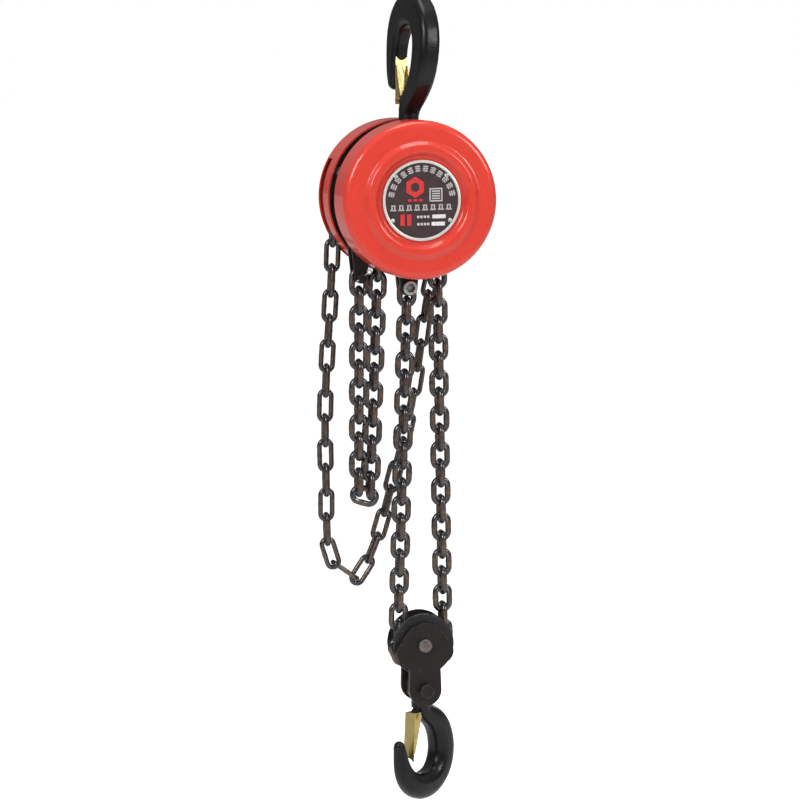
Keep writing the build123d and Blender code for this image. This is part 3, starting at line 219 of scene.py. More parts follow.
# ---------------------------------------------------------------- finishes
def red_paint():
    colour = (0.73, 0.048, 0.027)
    material, tree, shader, coords = start_finish("red_enamel", colour, 0.3)
    patches = noise(tree, coords, 14.0, 3.0)
    body = mixed(tree, patches, (0.75, 0.052, 0.030), (0.68, 0.040, 0.023))
    specks = steps(tree, noise(tree, coords, 700.0, 2.0), (0.745, 0.0), (0.765, 1.0))
    body = mixed(tree, specks, body, (0.86, 0.42, 0.36))
    # Painted shade: an ambient-occlusion mask darkens the red to a deeper red in corners and recesses.
    painted_shade = occlusion_shade_share(tree, 0.006, 0.35, 0.80)
    body = mixed(tree, combined(tree, "MULTIPLY", painted_shade, 0.55), body, (0.26, 0.018, 0.016))
    tree.links.new(body, shader.inputs["Base Color"])
    smears = noise(tree, coords, 45.0, 5.0, 0.6)
    tree.links.new(steps(tree, smears, (0.3, 0.24), (0.75, 0.40)), shader.inputs["Roughness"])
    shader.inputs["Specular IOR Level"].default_value = 0.25
    shader.inputs["Coat Weight"].default_value = 0.55
    shader.inputs["Coat Roughness"].default_value = 0.06
    orange_peel = noise(tree, coords, 520.0, 2.0, 0.4)
    pressing = noise(tree, coords, 22.0, 2.0, 0.3)
    relief(tree, shader, (pressing, 0.0012, 0.12), (orange_peel, 0.0001, 0.22))
    return material


def black_paint(name, colour, worn, roughness, grain):
    """Satin black paint over plate or forging, thin on the edges."""
    material, tree, shader, coords = start_finish(name, colour, roughness)
    clouds = noise(tree, coords, 38.0, 6.0, 0.65)
    lighter = tuple(channel * 2.2 + 0.002 for channel in colour)
    body = mixed(tree, steps(tree, clouds, (0.35, 0.0), (0.75, 1.0)), colour, lighter)
    scuffs = noise(tree, coords, 260.0, 5.0, 0.7)
    edges = edge_share(tree, 0.0012, 0.02, 0.16)
    rubbed = combined(tree, "MULTIPLY", edges, steps(tree, scuffs, (0.42, 0.0), (0.62, 1.0)))
    body = mixed(tree, rubbed, body, worn)
    nicks = steps(tree, noise(tree, coords, 410.0, 3.0), (0.70, 0.0), (0.74, 0.5))
    body = mixed(tree, nicks, body, worn)
    tree.links.new(body, shader.inputs["Base Color"])
    gloss = noise(tree, coords, 75.0, 5.0, 0.6)
    low, high = roughness - 0.09, roughness + 0.13
    tree.links.new(steps(tree, gloss, (0.3, low), (0.72, high)), shader.inputs["Roughness"])
    shader.inputs["Specular IOR Level"].default_value = 0.26
    shader.inputs["Coat Weight"].default_value = 0.12
    shader.inputs["Coat Roughness"].default_value = 0.16
    scale_pits = noise(tree, coords, 210.0, 4.0, 0.6)
    fine = noise(tree, coords, 1300.0, 2.0, 0.5)
    relief(tree, shader, (scale_pits, 0.0006, grain), (fine, 0.00012, grain))
    return material


def bright_steel(name, colour, roughness, cloud_colour):
    """Zinc plated or ground steel with a fine spangle, handling marks and painted shade in the corners."""
    material, tree, shader, coords = start_finish(name, colour, roughness, 1.0)
    clouds = noise(tree, coords, 150.0, 5.0, 0.65)
    body = mixed(tree, steps(tree, clouds, (0.38, 0.0), (0.70, 1.0)), colour, cloud_colour)
    # Painted shade: an ambient-occlusion mask darkens the steel towards near black in corners and recesses.
    painted_corner_shade = occlusion_shade_share(tree, 0.005, 0.45, 0.85)
    body = mixed(tree, combined(tree, "MULTIPLY", painted_corner_shade, 0.9), body, (0.05, 0.045, 0.04))
    tree.links.new(body, shader.inputs["Base Color"])
    spangle = noise(tree, coords, 620.0, 3.0, 0.6)
    rough = steps(tree, spangle, (0.3, roughness - 0.10), (0.7, roughness + 0.14))
    tree.links.new(rough, shader.inputs["Roughness"])
    relief(tree, shader, (spangle, 0.00008, 0.35))
    return material


def turned_steel():
    """Machined gear steel: fine turning lines round the shaft direction and painted brown-black shade in the
    corners.
    """
    colour = (0.30, 0.295, 0.29)
    material, tree, shader, coords = start_finish("turned_steel", colour, 0.32, 1.0)
    lines = noise(tree, coords, 260.0, 3.0, 0.6, (0.25, 9.0, 0.25))
    body = mixed(tree, lines, (0.24, 0.235, 0.23), (0.40, 0.39, 0.38))
    # Painted shade: an ambient-occlusion mask darkens the steel towards brown-black in corners.
    painted_brown_shade = occlusion_shade_share(tree, 0.004, 0.25, 0.75)
    body = mixed(tree, combined(tree, "MULTIPLY", painted_brown_shade, 0.7), body, (0.045, 0.03, 0.018))
    tree.links.new(body, shader.inputs["Base Color"])
    tree.links.new(steps(tree, lines, (0.3, 0.22), (0.7, 0.42)), shader.inputs["Roughness"])
    relief(tree, shader, (lines, 0.00005, 0.4))
    return material


def bronze():
    colour = (0.62, 0.38, 0.17)
    material, tree, shader, coords = start_finish("bearing_bronze", colour, 0.34, 1.0)
    clouds = noise(tree, coords, 180.0, 5.0, 0.6)
    tree.links.new(mixed(tree, clouds, (0.50, 0.28, 0.12), (0.70, 0.46, 0.22)), shader.inputs["Base Color"])
    tree.links.new(steps(tree, clouds, (0.3, 0.26), (0.7, 0.48)), shader.inputs["Roughness"])
    relief(tree, shader, (noise(tree, coords, 900.0, 2.0), 0.00006, 0.4))
    return material


def friction_lining():
    """Pressed brake lining: dark resin with pale fibres and brass flecks."""
    colour = (0.16, 0.12, 0.09)
    material, tree, shader, coords = start_finish("brake_lining", colour, 0.85)
    fibres = noise(tree, coords, 900.0, 4.0, 0.7, (3.0, 0.4, 1.0))
    body = mixed(tree, steps(tree, fibres, (0.45, 0.0), (0.65, 1.0)), colour, (0.30, 0.25, 0.19))
    flecks = steps(tree, noise(tree, coords, 1500.0, 1.0), (0.71, 0.0), (0.73, 1.0))
    tree.links.new(mixed(tree, flecks, body, (0.70, 0.50, 0.20)), shader.inputs["Base Color"])
    relief(tree, shader, (fibres, 0.0001, 0.6))
    return material


def yellow_zinc():
    """Yellow passivated sheet: brassy, with greenish and pinkish clouds, a painted pale highlight along the sharp
    edges, and painted shade in hollows and bends.
    """
    colour = (0.66, 0.46, 0.17)
    material, tree, shader, coords = start_finish("yellow_zinc", colour, 0.3, 1.0)
    clouds = noise(tree, coords, 95.0, 4.0, 0.6)
    body = steps(tree, clouds, (0.30, (0.70, 0.50, 0.17)), (0.48, (0.64, 0.52, 0.22)),
                 (0.62, (0.62, 0.40, 0.15)), (0.80, (0.52, 0.30, 0.13)))
    # Painted highlight: a pale cream colour along the sharp edges.
    edges = edge_share(tree, 0.0006, 0.02, 0.2)
    body = mixed(tree, combined(tree, "MULTIPLY", edges, 0.5), body, (0.95, 0.90, 0.76))
    # Painted shade: an ambient-occlusion mask darkens the yellow towards brown in hollows and inside bends.
    painted_corner_shade = occlusion_shade_share(tree, 0.005, 0.25, 0.70)
    body = mixed(tree, combined(tree, "MULTIPLY", painted_corner_shade, 0.6), body, (0.20, 0.12, 0.04))
    tree.links.new(body, shader.inputs["Base Color"])
    rolled = noise(tree, coords, 420.0, 3.0, 0.6, (1.0, 1.0, 0.15))
    tree.links.new(steps(tree, rolled, (0.3, 0.28), (0.7, 0.46)), shader.inputs["Roughness"])
    relief(tree, shader, (rolled, 0.00006, 0.35))
    return material


def chain_steel(name, dark, brown, bare):
    """Burnished chain steel: brown bloom along the sides, blue-black bends, bare metal where links bear."""
    material, tree, shader, coords = start_finish(name, dark, 0.26, 0.9)
    clouds = noise(tree, coords, 120.0, 5.0, 0.65)
    bend = tree.nodes.new("ShaderNodeAttribute")
    bend.attribute_name = "bend"
    sides = combined(tree, "SUBTRACT", 1.0, combined(tree, "MULTIPLY", bend.outputs["Fac"], 0.85))
    bloom = combined(tree, "MULTIPLY", steps(tree, clouds, (0.30, 0.15), (0.58, 1.0)), sides)
    body = mixed(tree, bloom, dark, brown)
    scale_flakes = steps(tree, noise(tree, coords, 480.0, 5.0, 0.7), (0.56, 0.0), (0.66, 0.8))
    body = mixed(tree, scale_flakes, body, tuple(channel * 0.35 for channel in dark))
    wear = tree.nodes.new("ShaderNodeAttribute")
    wear.attribute_name = "wear"
    streaks = steps(tree, noise(tree, coords, 330.0, 4.0, 0.6), (0.36, 0.35), (0.62, 1.0))
    worn = combined(tree, "MULTIPLY", wear.outputs["Fac"], streaks)
    body = mixed(tree, worn, body, bare)
    tree.links.new(body, shader.inputs["Base Color"])
    rough = steps(tree, noise(tree, coords, 240.0, 4.0, 0.6), (0.3, 0.24), (0.72, 0.46))
    rough = mixed(tree, bend.outputs["Fac"], rough, (0.19, 0.19, 0.19))
    tree.links.new(mixed(tree, worn, rough, (0.16, 0.16, 0.16)), shader.inputs["Roughness"])
    relief(tree, shader, (noise(tree, coords, 300.0, 4.0, 0.6), 0.0003, 0.35),
           (noise(tree, coords, 1500.0, 2.0, 0.5), 0.00008, 0.3))
    return material


def plate_enamel():
    """Rating plate ground: dark brown-black print on aluminium, faintly blotched and scratched."""
    colour = (0.045, 0.024, 0.026)
    material, tree, shader, coords = start_finish("plate_ground", colour, 0.38)
    blotches = noise(tree, coords, 160.0, 5.0, 0.6)
    body = mixed(tree, blotches, (0.030, 0.016, 0.018), (0.062, 0.034, 0.036))
    scratches = noise(tree, coords, 300.0, 2.0, 0.5, (0.15, 1.0, 4.0))
    body = mixed(tree, steps(tree, scratches, (0.72, 0.0), (0.76, 0.5)), body, (0.28, 0.26, 0.26))
    tree.links.new(body, shader.inputs["Base Color"])
    tree.links.new(steps(tree, blotches, (0.3, 0.30), (0.7, 0.46)), shader.inputs["Roughness"])
    relief(tree, shader, (noise(tree, coords, 900.0, 2.0), 0.00004, 0.3))
    return material


def printed(name, colour, metallic, roughness):
    """Etched or printed marks of the rating plate, slightly uneven."""
    material, tree, shader, coords = start_finish(name, colour, roughness, metallic)
    ink = noise(tree, coords, 800.0, 4.0, 0.7)
    thin = tuple(channel * 0.62 for channel in colour)
    body = mixed(tree, steps(tree, ink, (0.40, 0.0), (0.72, 1.0)), colour, thin)
    tree.links.new(body, shader.inputs["Base Color"])
    rough = steps(tree, ink, (0.3, roughness - 0.1), (0.7, roughness + 0.12))
    tree.links.new(rough, shader.inputs["Roughness"])
    relief(tree, shader, (ink, 0.00003, 0.3))
    return material


FINISHES = {
    "red_paint": red_paint(),
    "black_plate": black_paint(
        "side_plate_black", (0.005, 0.004, 0.004), worn=(0.12, 0.105, 0.095), roughness=0.40, grain=0.25),
    "hook_black": black_paint(
        "forged_hook_black", (0.0030, 0.0024, 0.0032), worn=(0.08, 0.07, 0.070), roughness=0.30, grain=0.42),
    "block_black": black_paint(
        "block_black_brown", (0.0075, 0.0052, 0.0045), worn=(0.16, 0.135, 0.12), roughness=0.42, grain=0.34),
    "cast_wheel": black_paint(
        "cast_wheel_black", (0.010, 0.010, 0.012), worn=(0.20, 0.19, 0.185), roughness=0.48, grain=0.6),
    "bright_steel": bright_steel("zinc_steel", (0.66, 0.66, 0.65), 0.30, (0.52, 0.53, 0.54)),
    "gear_steel": turned_steel(),
    "bronze": bronze(),
    "friction_lining": friction_lining(),
    "latch_zinc": yellow_zinc(),
    "rating_plate": plate_enamel(),
    "load_chain": chain_steel(
        "load_chain_steel", dark=(0.075, 0.077, 0.086), brown=(0.19, 0.140, 0.105), bare=(0.72, 0.76, 0.84)),
    "hand_chain": chain_steel(
        "hand_chain_steel", dark=(0.080, 0.080, 0.087), brown=(0.18, 0.137, 0.108), bare=(0.66, 0.69, 0.76)),
}
PIN_STEEL = bright_steel("worn_pin_steel", (0.25, 0.215, 0.19), 0.42, (0.13, 0.11, 0.10))
SPRING_STEEL = bright_steel("spring_wire", (0.16, 0.14, 0.12), 0.36, (0.09, 0.075, 0.065))
PLATE_SILVER = printed("plate_silver", (0.84, 0.81, 0.77), 0.45, 0.38)
PLATE_RED = printed("plate_red", (0.72, 0.035, 0.035), 0.0, 0.42)
PLATE_WHITE = printed("plate_field", (0.86, 0.83, 0.80), 0.0, 0.5)

for name, thing in nodes.items():
    thing.data.materials.clear()
    thing.data.materials.append(FINISHES[slot_of[name]])
nodes["sheave_pin"].data.materials[0] = PIN_STEEL
nodes["lug_pin"].data.materials[0] = FINISHES["block_black"]


# ---------------------------------------------------------------- mesh helpers
def new_piece(name, mesh, body, material):
    """A finished mesh as a piece that rides on a body, or on none."""
    piece = bpy.data.objects.new(name, mesh)
    bpy.context.scene.collection.objects.link(piece)
    mesh.materials.append(material)
    if body is not None:
        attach(piece, body)
    return piece


def mesh_of(name, points, faces, smooth=True):
    mesh = bpy.data.meshes.new(name)
    mesh.from_pydata([tuple(point) for point in points], [], faces)
    mesh.update()
    mesh.shade_smooth() if smooth else mesh.shade_flat()
    return mesh


def tube(path, radius, sides=12, closed=False, radius_at=None):
    """Points and quads of a round tube along a path, with flat ends if it's open."""
    path = [Vector(point) for point in path]
    count = len(path)
    points, faces = [], []
    normal = None
    for i, centre in enumerate(path):
        before = path[(i - 1) % count] if closed or i > 0 else centre
        after = path[(i + 1) % count] if closed or i < count - 1 else centre
        along = (after - before).normalized()
        if normal is None:
            normal = along.orthogonal().normalized()
        normal = (normal - along * normal.dot(along)).normalized()
        across = along.cross(normal)
        here = radius_at(i) if radius_at else radius
        for k in range(sides):
            turn = 2 * math.pi * k / sides
            points.append(centre + here * (math.cos(turn) * normal + math.sin(turn) * across))
    rings = count if closed else count - 1
    for i in range(rings):
        for k in range(sides):
            a, b = i * sides + k, i * sides + (k + 1) % sides
            c, d = ((i + 1) % count) * sides + (k + 1) % sides, ((i + 1) % count) * sides + k
            faces.append((a, b, c, d))
    if not closed:
        faces.append(tuple(range(sides))[::-1])
        faces.append(tuple((count - 1) * sides + k for k in range(sides)))
    return points, faces


# ---------------------------------------------------------------- chain links
def shells(node):
    """Triangles of a CAD node grouped by separate solid, as arrays of corner points."""
    mesh = nodes[node].data
    corners = np.array([v.co for v in mesh.vertices], float)
    mesh.calc_loop_triangles()
    triangles = np.array([t.vertices for t in mesh.loop_triangles], int)
    _, same = np.unique(np.round(corners * 1e6).astype(int), axis=0, return_inverse=True)
    welded = same.reshape(-1)[triangles]
    owner = np.arange(welded.max() + 1)
    while True:
        lowest = owner[welded].min(axis=1)
        before = owner.copy()
        for k in range(3):
            np.minimum.at(owner, welded[:, k], lowest)
        owner = owner[owner]
        if (owner == before).all():
            break
    groups = owner[welded[:, 0]]
    found = [corners[triangles[groups == g]] for g in np.unique(groups)]
    return sorted(found, key=lambda t: (-round(t[:, :, 2].mean(), 5), round(t[:, :, 0].mean(), 5)))


def solid_axes(triangles):
    """Centre of a link and its long, wide and thin directions, with its size along each."""
    edge1 = triangles[:, 1] - triangles[:, 0]
    edge2 = triangles[:, 2] - triangles[:, 0]
    area = np.linalg.norm(np.cross(edge1, edge2), axis=1) / 2
    total = triangles.sum(axis=1)
    centre = (total * area[:, None]).sum(axis=0) / 3 / area.sum()
    spread = np.zeros((3, 3))
    for k in range(3):
        spread += np.einsum("t,ti,tj->ij", area, triangles[:, k] - centre, triangles[:, k] - centre)
    off = total - 3 * centre
    spread += np.einsum("t,ti,tj->ij", area, off, off)
    axes = np.linalg.eigh(spread)[1][:, ::-1].T
    reach = (triangles.reshape(-1, 3) - centre) @ axes.T
    return centre, axes, [float(extent) for extent in reach.max(axis=0) - reach.min(axis=0)]


def link_mesh(length, width, wire, weld_side):
    """Forged link, long axis X, lying in XY, with a fuller weld.

    The shares of wear, inside the bends, and of bend are given for each of its points.
    """
    bend = (width - wire) / 2
    half = length / 2 - wire / 2 - bend
    arc, run = 15, 8
    path = []
    for end in (1, -1):
        for i in range(arc):
            turn = math.pi * (i / (arc - 1)) - math.pi / 2
            path.append((end * (half + bend * math.cos(turn)), end * bend * math.sin(turn)))
        for i in range(1, run):
            path.append((end * (half - 2 * half * i / run), end * bend))
    seed = RANDOM.random() * 10

    def radius_at(i):
        x, y = path[i]
        weld = math.exp(-((x / (0.30 * wire)) ** 2)) if y * weld_side > 0 else 0.0
        return wire / 2 * (1 + 0.085 * weld + 0.010 * math.sin(3.1 * i + seed))

    points, faces = tube([(x, y, 0.0) for x, y in path], wire / 2, 14, True, radius_at)
    wear, bent = [], []
    for point in points:
        beyond = abs(point.x) - half
        inside = bend - math.hypot(max(beyond, 0.0), point.y)
        wear.append(max(0.0, min(1.0, 2.2 * inside / wire)) * max(0.0, min(1.0, beyond / bend + 0.25)))
        bent.append(max(0.0, min(1.0, 1.4 * beyond / bend + 0.2)))
    return points, faces, wear, bent


def chain_piece(name, node, body, solids):
    """Links of one CAD chain node, given as numbered solids, remade as forged links in the same places."""
    points, faces, wear, bent = [], [], [], []
    for index, triangles in solids:
        centre, axes, size = solid_axes(triangles)
        long_way, wide_way = Vector(axes[0]), Vector(axes[1])
        if long_way.z > 0:
            long_way.negate()
        thin_way = long_way.cross(wide_way)
        link_points, link_faces, link_wear, link_bent = link_mesh(*size, 1 if index % 4 < 2 else -1)
        place = Matrix((long_way, wide_way, thin_way)).transposed()
        first = len(points)
        points += [Vector(centre) + place @ point for point in link_points]
        faces += [tuple(first + k for k in face) for face in link_faces]
        wear += link_wear
        bent += link_bent
    mesh = mesh_of(name, points, faces)
    for label, values in (("wear", wear), ("bend", bent)):
        layer = mesh.attributes.new(label, "FLOAT", "POINT")
        layer.data.foreach_set("value", np.array(values, np.float32))
    slot = slot_of[node]
    piece = new_piece(name, mesh, body, FINISHES[slot])
    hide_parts(node)
    return piece


def body_holding(node):
    return nodes[node]["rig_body"]


def shorten_with_lift(piece):
    """Gives the links under the bending ones a mesh of their own."""
    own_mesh(piece)


def bend_at_top(piece):
    """Bakes the piece's placement into its points; it rides on no body."""
    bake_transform(piece)


BENDING_LINKS = 3
FALLS = ("live_fall", "dead_fall")
LOOP_BENDS = {"slack_loop": 60 * MM, "hand_chain_loop": 80 * MM}
CHAINS = (*FALLS, "slack_loop", "sprocket_wrap", "sheave_wrap", "hand_chain_loop", "hand_chain_wrap")
for chain in CHAINS:
    holder = body_holding(chain)
    numbered = list(enumerate(shells(chain)))
    if chain in FALLS:
        bending = chain_piece(chain + "_top_links", chain, None, numbered[:BENDING_LINKS])
        hanging = chain_piece(chain + "_links", chain, holder, numbered[BENDING_LINKS:])
        bend_at_top(bending)
        shorten_with_lift(hanging)
    elif chain in LOOP_BENDS:
        loop = chain_piece(chain + "_links", chain, None, numbered)
        bend_at_top(loop)
    else:
        chain_piece(chain + "_links", chain, holder, numbered)


# ---------------------------------------------------------------- latch springs
def latch_frame(node, joint_name):
    """Pivot, pin direction, direction to the free end, direction out of the throat, and length of one latch."""
    joint = joints[joint_name]
    pivot, pin = Vector(joint["pos_m"]), Vector(joint["axis"])
    corners = np.array([v.co for v in nodes[node].data.vertices], float)
    from_pivot = Vector(corners.mean(axis=0)) - pivot
    from_pivot -= pin * from_pivot.dot(pin)
    reach = corners @ np.array(from_pivot.normalized()) - pivot.dot(from_pivot.normalized())
    tip = Vector(corners[reach > 0.85 * reach.max()].mean(axis=0)) - pivot
    tip -= pin * tip.dot(pin)
    along = tip.normalized()
    outward = pin.cross(along)
    if Vector(corners.mean(axis=0)).dot(outward) < pivot.dot(outward):
        outward.negate()
    return pivot, pin, along, outward, reach.max()


SPRING_WIRE_R = 0.45 * MM
SPRING_COIL_R = 2.75 * MM
COIL_TURNS = 2
COIL_POINTS = 18


def latch_spring(prefix, latch_node, joint_name, hook_body, latch_body):
    """Torsion spring on the latch pin: coils either side of the ear, one leg on the latch and one on the hook."""
    pivot, pin, along, outward, length = latch_frame(latch_node, joint_name)
    points, faces = [], []
    for side in (-1, 1):
        path = []
        for i in range(COIL_TURNS * COIL_POINTS + 1):
            turn = 2 * math.pi * i / COIL_POINTS
            offset = side * (3.55 + 1.15 * i / (COIL_TURNS * COIL_POINTS)) * MM
            ring = SPRING_COIL_R * (math.cos(turn) * along + math.sin(turn) * outward)
            path.append(pivot + pin * offset + ring)
        tail = path[0] - 9 * MM * along + 1.2 * MM * outward
        more_points, more_faces = tube([tail] + path, SPRING_WIRE_R, 8)
        faces += [tuple(len(points) + k for k in face) for face in more_faces]
        points += more_points
    coils = mesh_of(prefix + "_coils", points, faces)
    new_piece(prefix + "_spring_coils", coils, hook_body, SPRING_STEEL)
    start = pivot + pin * 4.6 * MM + SPRING_COIL_R * outward
    middle = pivot + along * (length * 0.42) + outward * 3.4 * MM + pin * 2.2 * MM
    end = pivot + along * (length * 0.74) + outward * 3.6 * MM - pin * 1.0 * MM
    points, faces = tube([start, start.lerp(middle, 0.5), middle, end], SPRING_WIRE_R, 8)
    leg = mesh_of(prefix + "_leg", points, faces)
    new_piece(prefix + "_spring_leg", leg, latch_body, SPRING_STEEL)


latch_spring("top_latch", "top_latch", "top_latch_swing", "top_hook", "top_latch")
latch_spring("bottom_latch", "bottom_latch", "bottom_latch_swing", "bottom_hook", "bottom_latch")


# ---------------------------------------------------------------- rating plate marks
plate_low, plate_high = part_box("nameplate")
PLATE_CENTRE = (plate_low + plate_high) / 2
PLATE_R = (plate_high.x - plate_low.x) / 2
PLATE_FACE = plate_low.y
MARK_HEIGHT = 0.14 * MM


def raised_marks(name, outlines, height, material):
    """Flat raised shapes on the plate from closed outlines in shares of its radius."""
    points, faces = [], []
    for outline in outlines:
        count = len(outline)
        first = len(points)
        for depth in (0.02 * MM, -height):
            for u, v in outline:
                x, z = PLATE_CENTRE.x + u * PLATE_R, PLATE_CENTRE.z + v * PLATE_R
                points.append((x, PLATE_FACE + depth, z))
        faces.append(tuple(first + count + k for k in range(count)))
        faces.append(tuple(first + k for k in range(count))[::-1])
        for k in range(count):
            after = (k + 1) % count
            faces.append((first + k, first + after, first + count + after, first + count + k))
    mesh = mesh_of(name, points, faces, False)
    checker = bmesh.new()
    checker.from_mesh(mesh)
    bmesh.ops.recalc_face_normals(checker, faces=checker.faces)
    checker.to_mesh(mesh)
    checker.free()
    return new_piece(name, mesh, "frame", material)


def rectangle(u, v, width, height, turn=0.0):
    c, s = math.cos(turn), math.sin(turn)
    x, z = width / 2, height / 2
    return [(u + x * c - z * s, v + x * s + z * c) for x, z in ((-x, -z), (x, -z), (x, z), (-x, z))]


def polygon(u, v, radius, sides, turn=0.0):
    return [(u + radius * math.cos(turn + 2 * math.pi * k / sides),
             v + radius * math.sin(turn + 2 * math.pi * k / sides)) for k in range(sides)]


def plate_ring(name, inner, outer, height, material):
    """Round rim of the plate, a little domed."""
    sides, profile = 96, []
    for share, lift in ((0.0, 0.0), (0.12, 0.75), (0.5, 1.0), (0.88, 0.75), (1.0, 0.0)):
        profile.append(((inner + (outer - inner) * share) * PLATE_R, PLATE_FACE + 0.02 * MM - lift * height))
    points, faces = [], []
    for k in range(sides):
        turn = 2 * math.pi * k / sides
        for radius, y in profile:
            x, z = PLATE_CENTRE.x + radius * math.cos(turn), PLATE_CENTRE.z + radius * math.sin(turn)
            points.append((x, y, z))
    rows = len(profile)
    for k in range(sides):
        for i in range(rows):
            a, b = k * rows + i, k * rows + (i + 1) % rows
            c, d = ((k + 1) % sides) * rows + (i + 1) % rows, ((k + 1) % sides) * rows + i
            faces.append((a, b, c, d))
    return new_piece(name, mesh_of(name, points, faces), "frame", material)


STROKE = 0.030
ARC_SIGNS = 12
ROW_SIGNS = 8
BADGE = (-0.17, 0.33)
FRAME_CENTRE = (0.360, 0.135)


def arc_signs():
    """Meaningless signs, three bars on a stem, round the top of the plate."""
    shapes = []
    for k in range(ARC_SIGNS):
        turn = math.radians(168 - 14.2 * k)
        out_u, out_v = math.cos(turn), math.sin(turn)
        u, v = 0.79 * out_u, 0.79 * out_v
        for shift in (-0.052, 0.0, 0.052):
            shapes.append(rectangle(u + shift * out_u, v + shift * out_v, STROKE, 0.125, turn))
        shapes.append(rectangle(u, v, 0.165, STROKE, turn))
    return shapes


def row_signs():
    """Meaningless signs, two bars on two legs, in a row below the middle."""
    shapes = []
    for k in range(ROW_SIGNS):
        u = -0.73 + 0.202 * k
        shapes += [rectangle(u, -0.225, 0.150, 0.034), rectangle(u, -0.115, 0.115, 0.032)]
        shapes += [rectangle(u - 0.035, -0.170, STROKE, 0.125), rectangle(u + 0.035, -0.170, STROKE, 0.125)]
    return shapes


def framed_bars():
    """Square frame with four bars in it."""
    u, v = FRAME_CENTRE
    shapes = [rectangle(u, v + shift, 0.33, STROKE) for shift in (0.15, -0.15)]
    shapes += [rectangle(u + shift, v, STROKE, 0.30) for shift in (-0.151, 0.151)]
    return shapes + [rectangle(u, v + 0.09 - 0.06 * k, 0.21, STROKE) for k in range(4)]


def rating_plate_marks():
    """Generic marks in place of print: rim, signs, a hexagon badge, bars, dots and two blank fields."""
    plate_ring("plate_rim", 0.925, 1.0, 0.35 * MM, PLATE_SILVER)
    dots = [rectangle(-0.10 + 0.085 * k, v, 0.058, 0.062) for v in (-0.40, -0.58) for k in range(4)]
    silver = arc_signs() + row_signs() + framed_bars() + dots
    raised_marks("plate_silver_marks", silver, MARK_HEIGHT, PLATE_SILVER)
    red = [polygon(*BADGE, 0.26, 6, math.pi / 6)]
    red += [rectangle(-0.31 + 0.14 * k, 0.01, 0.10, 0.06) for k in range(3)]
    red += [rectangle(u, -0.47, 0.11, 0.28) for u in (-0.50, -0.33)]
    raised_marks("plate_red_marks", red, MARK_HEIGHT, PLATE_RED)
    raised_marks("plate_badge_hole", [polygon(*BADGE, 0.11, 24)], 1.35 * MARK_HEIGHT, FINISHES["rating_plate"])
    fields = [rectangle(0.43, -0.40, 0.34, 0.095), rectangle(0.41, -0.58, 0.34, 0.095)]
    raised_marks("plate_blank_fields", fields, MARK_HEIGHT, PLATE_WHITE)


rating_plate_marks()


# ---------------------------------------------------------------- floor, light and camera
FLOOR_LIFT = 0.70
FLOOR_BELOW = 0.25
FLOOR_HALF = 40.0
LAMPS = (
    ("softbox_left", (-1.7, -1.5, 0.9), 0.9, 30.0),
    ("softbox_right", (1.5, -1.6, 0.5), 0.8, 20.0),
    ("softbox_top", (0.1, -0.2, 1.5), 0.9, 13.0),
    ("softbox_back", (1.2, 1.8, 0.2), 0.9, 14.0),
)


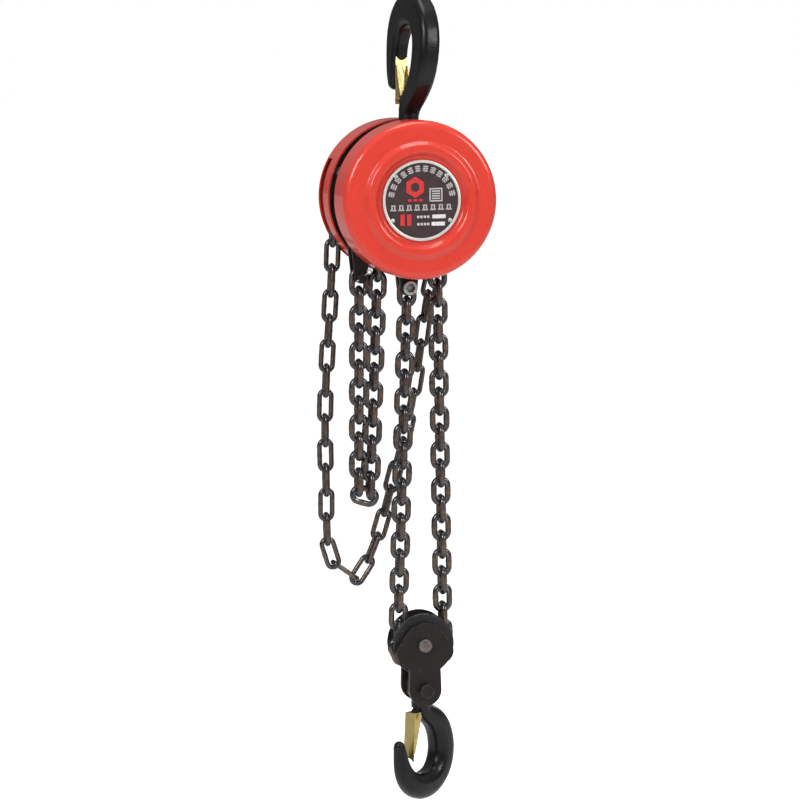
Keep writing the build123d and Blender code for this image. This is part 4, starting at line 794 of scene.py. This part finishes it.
def studio():
    """Plain pale floor well under the hanging hoist, white surroundings and soft lamps."""
    floor_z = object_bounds()[0].z - FLOOR_BELOW
    corners = [(x * FLOOR_HALF, y * FLOOR_HALF, floor_z) for x, y in ((-1, -1), (1, -1), (1, 1), (-1, 1))]
    floor = bpy.data.objects.new("floor", mesh_of("floor", corners, [(0, 1, 2, 3)], False))
    bpy.context.scene.collection.objects.link(floor)
    material, tree, shader, _ = start_finish("pale_floor", (0.90, 0.90, 0.90), 0.9)
    seen = tree.nodes.new("ShaderNodeLightPath").outputs["Is Camera Ray"]
    shader.inputs["Emission Color"].default_value = (1.0, 1.0, 1.0, 1.0)
    tree.links.new(combined(tree, "MULTIPLY", seen, FLOOR_LIFT), shader.inputs["Emission Strength"])
    floor.data.materials.append(material)
    floor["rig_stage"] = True

    world = bpy.data.worlds.new("studio")
    world.use_nodes = True
    tree = world.node_tree
    background = tree.nodes["Background"]
    ways = tree.nodes.new("ShaderNodeSeparateXYZ")
    tree.links.new(tree.nodes.new("ShaderNodeTexCoord").outputs["Generated"], ways.inputs["Vector"])
    glow = steps(tree, ways.outputs["Z"], (0.0, 0.11), (0.12, 0.20), (0.9, 0.50))
    seen = tree.nodes.new("ShaderNodeLightPath").outputs["Is Camera Ray"]
    tree.links.new(mixed(tree, seen, glow, (1.0, 1.0, 1.0)), background.inputs["Color"])
    bpy.context.scene.world = world

    middle = Vector((0.0, 0.0, -0.35))
    for name, place, side, power in LAMPS:
        light = bpy.data.lights.new(name, "AREA")
        light.shape = "SQUARE"
        light.size = side
        light.energy = power
        lamp = bpy.data.objects.new(name, light)
        lamp.location = place
        lamp.rotation_mode = "QUATERNION"
        lamp.rotation_quaternion = (middle - Vector(place)).to_track_quat("-Z", "Y")
        bpy.context.scene.collection.objects.link(lamp)


CAMERA_AZIMUTH = math.radians(-15.1)
CAMERA_PITCH = math.radians(7.3)
CAMERA_ROLL = math.radians(-0.72)
CAMERA_DISTANCE = 2.87
CAMERA_TARGET = Vector((-0.0046, 0.0, -0.3489))
CAMERA_SHIFT = 0.0111
SENSOR_WIDTH = 36.0
FOCAL_LENGTH = 130.5


def camera():
    """Left of the front, a little above the middle, looking slightly down."""
    azimuth, pitch = CAMERA_AZIMUTH, CAMERA_PITCH
    right = Vector((math.cos(azimuth), math.sin(azimuth), 0.0))
    back = Vector((math.sin(azimuth) * math.cos(pitch), -math.cos(azimuth) * math.cos(pitch), math.sin(pitch)))
    target = CAMERA_TARGET - right * CAMERA_SHIFT
    data = bpy.data.cameras.new("camera")
    data.sensor_width = SENSOR_WIDTH
    data.lens = FOCAL_LENGTH
    view = bpy.data.objects.new("camera", data)
    view.location = target + back * CAMERA_DISTANCE
    view.rotation_mode = "QUATERNION"
    roll = Matrix.Rotation(CAMERA_ROLL, 4, back).to_quaternion()
    view.rotation_quaternion = roll @ (-back).to_track_quat("-Z", "Y")
    bpy.context.scene.collection.objects.link(view)
    bpy.context.scene.camera = view


studio()
camera()
bpy.context.scene.view_settings.view_transform = "Standard"
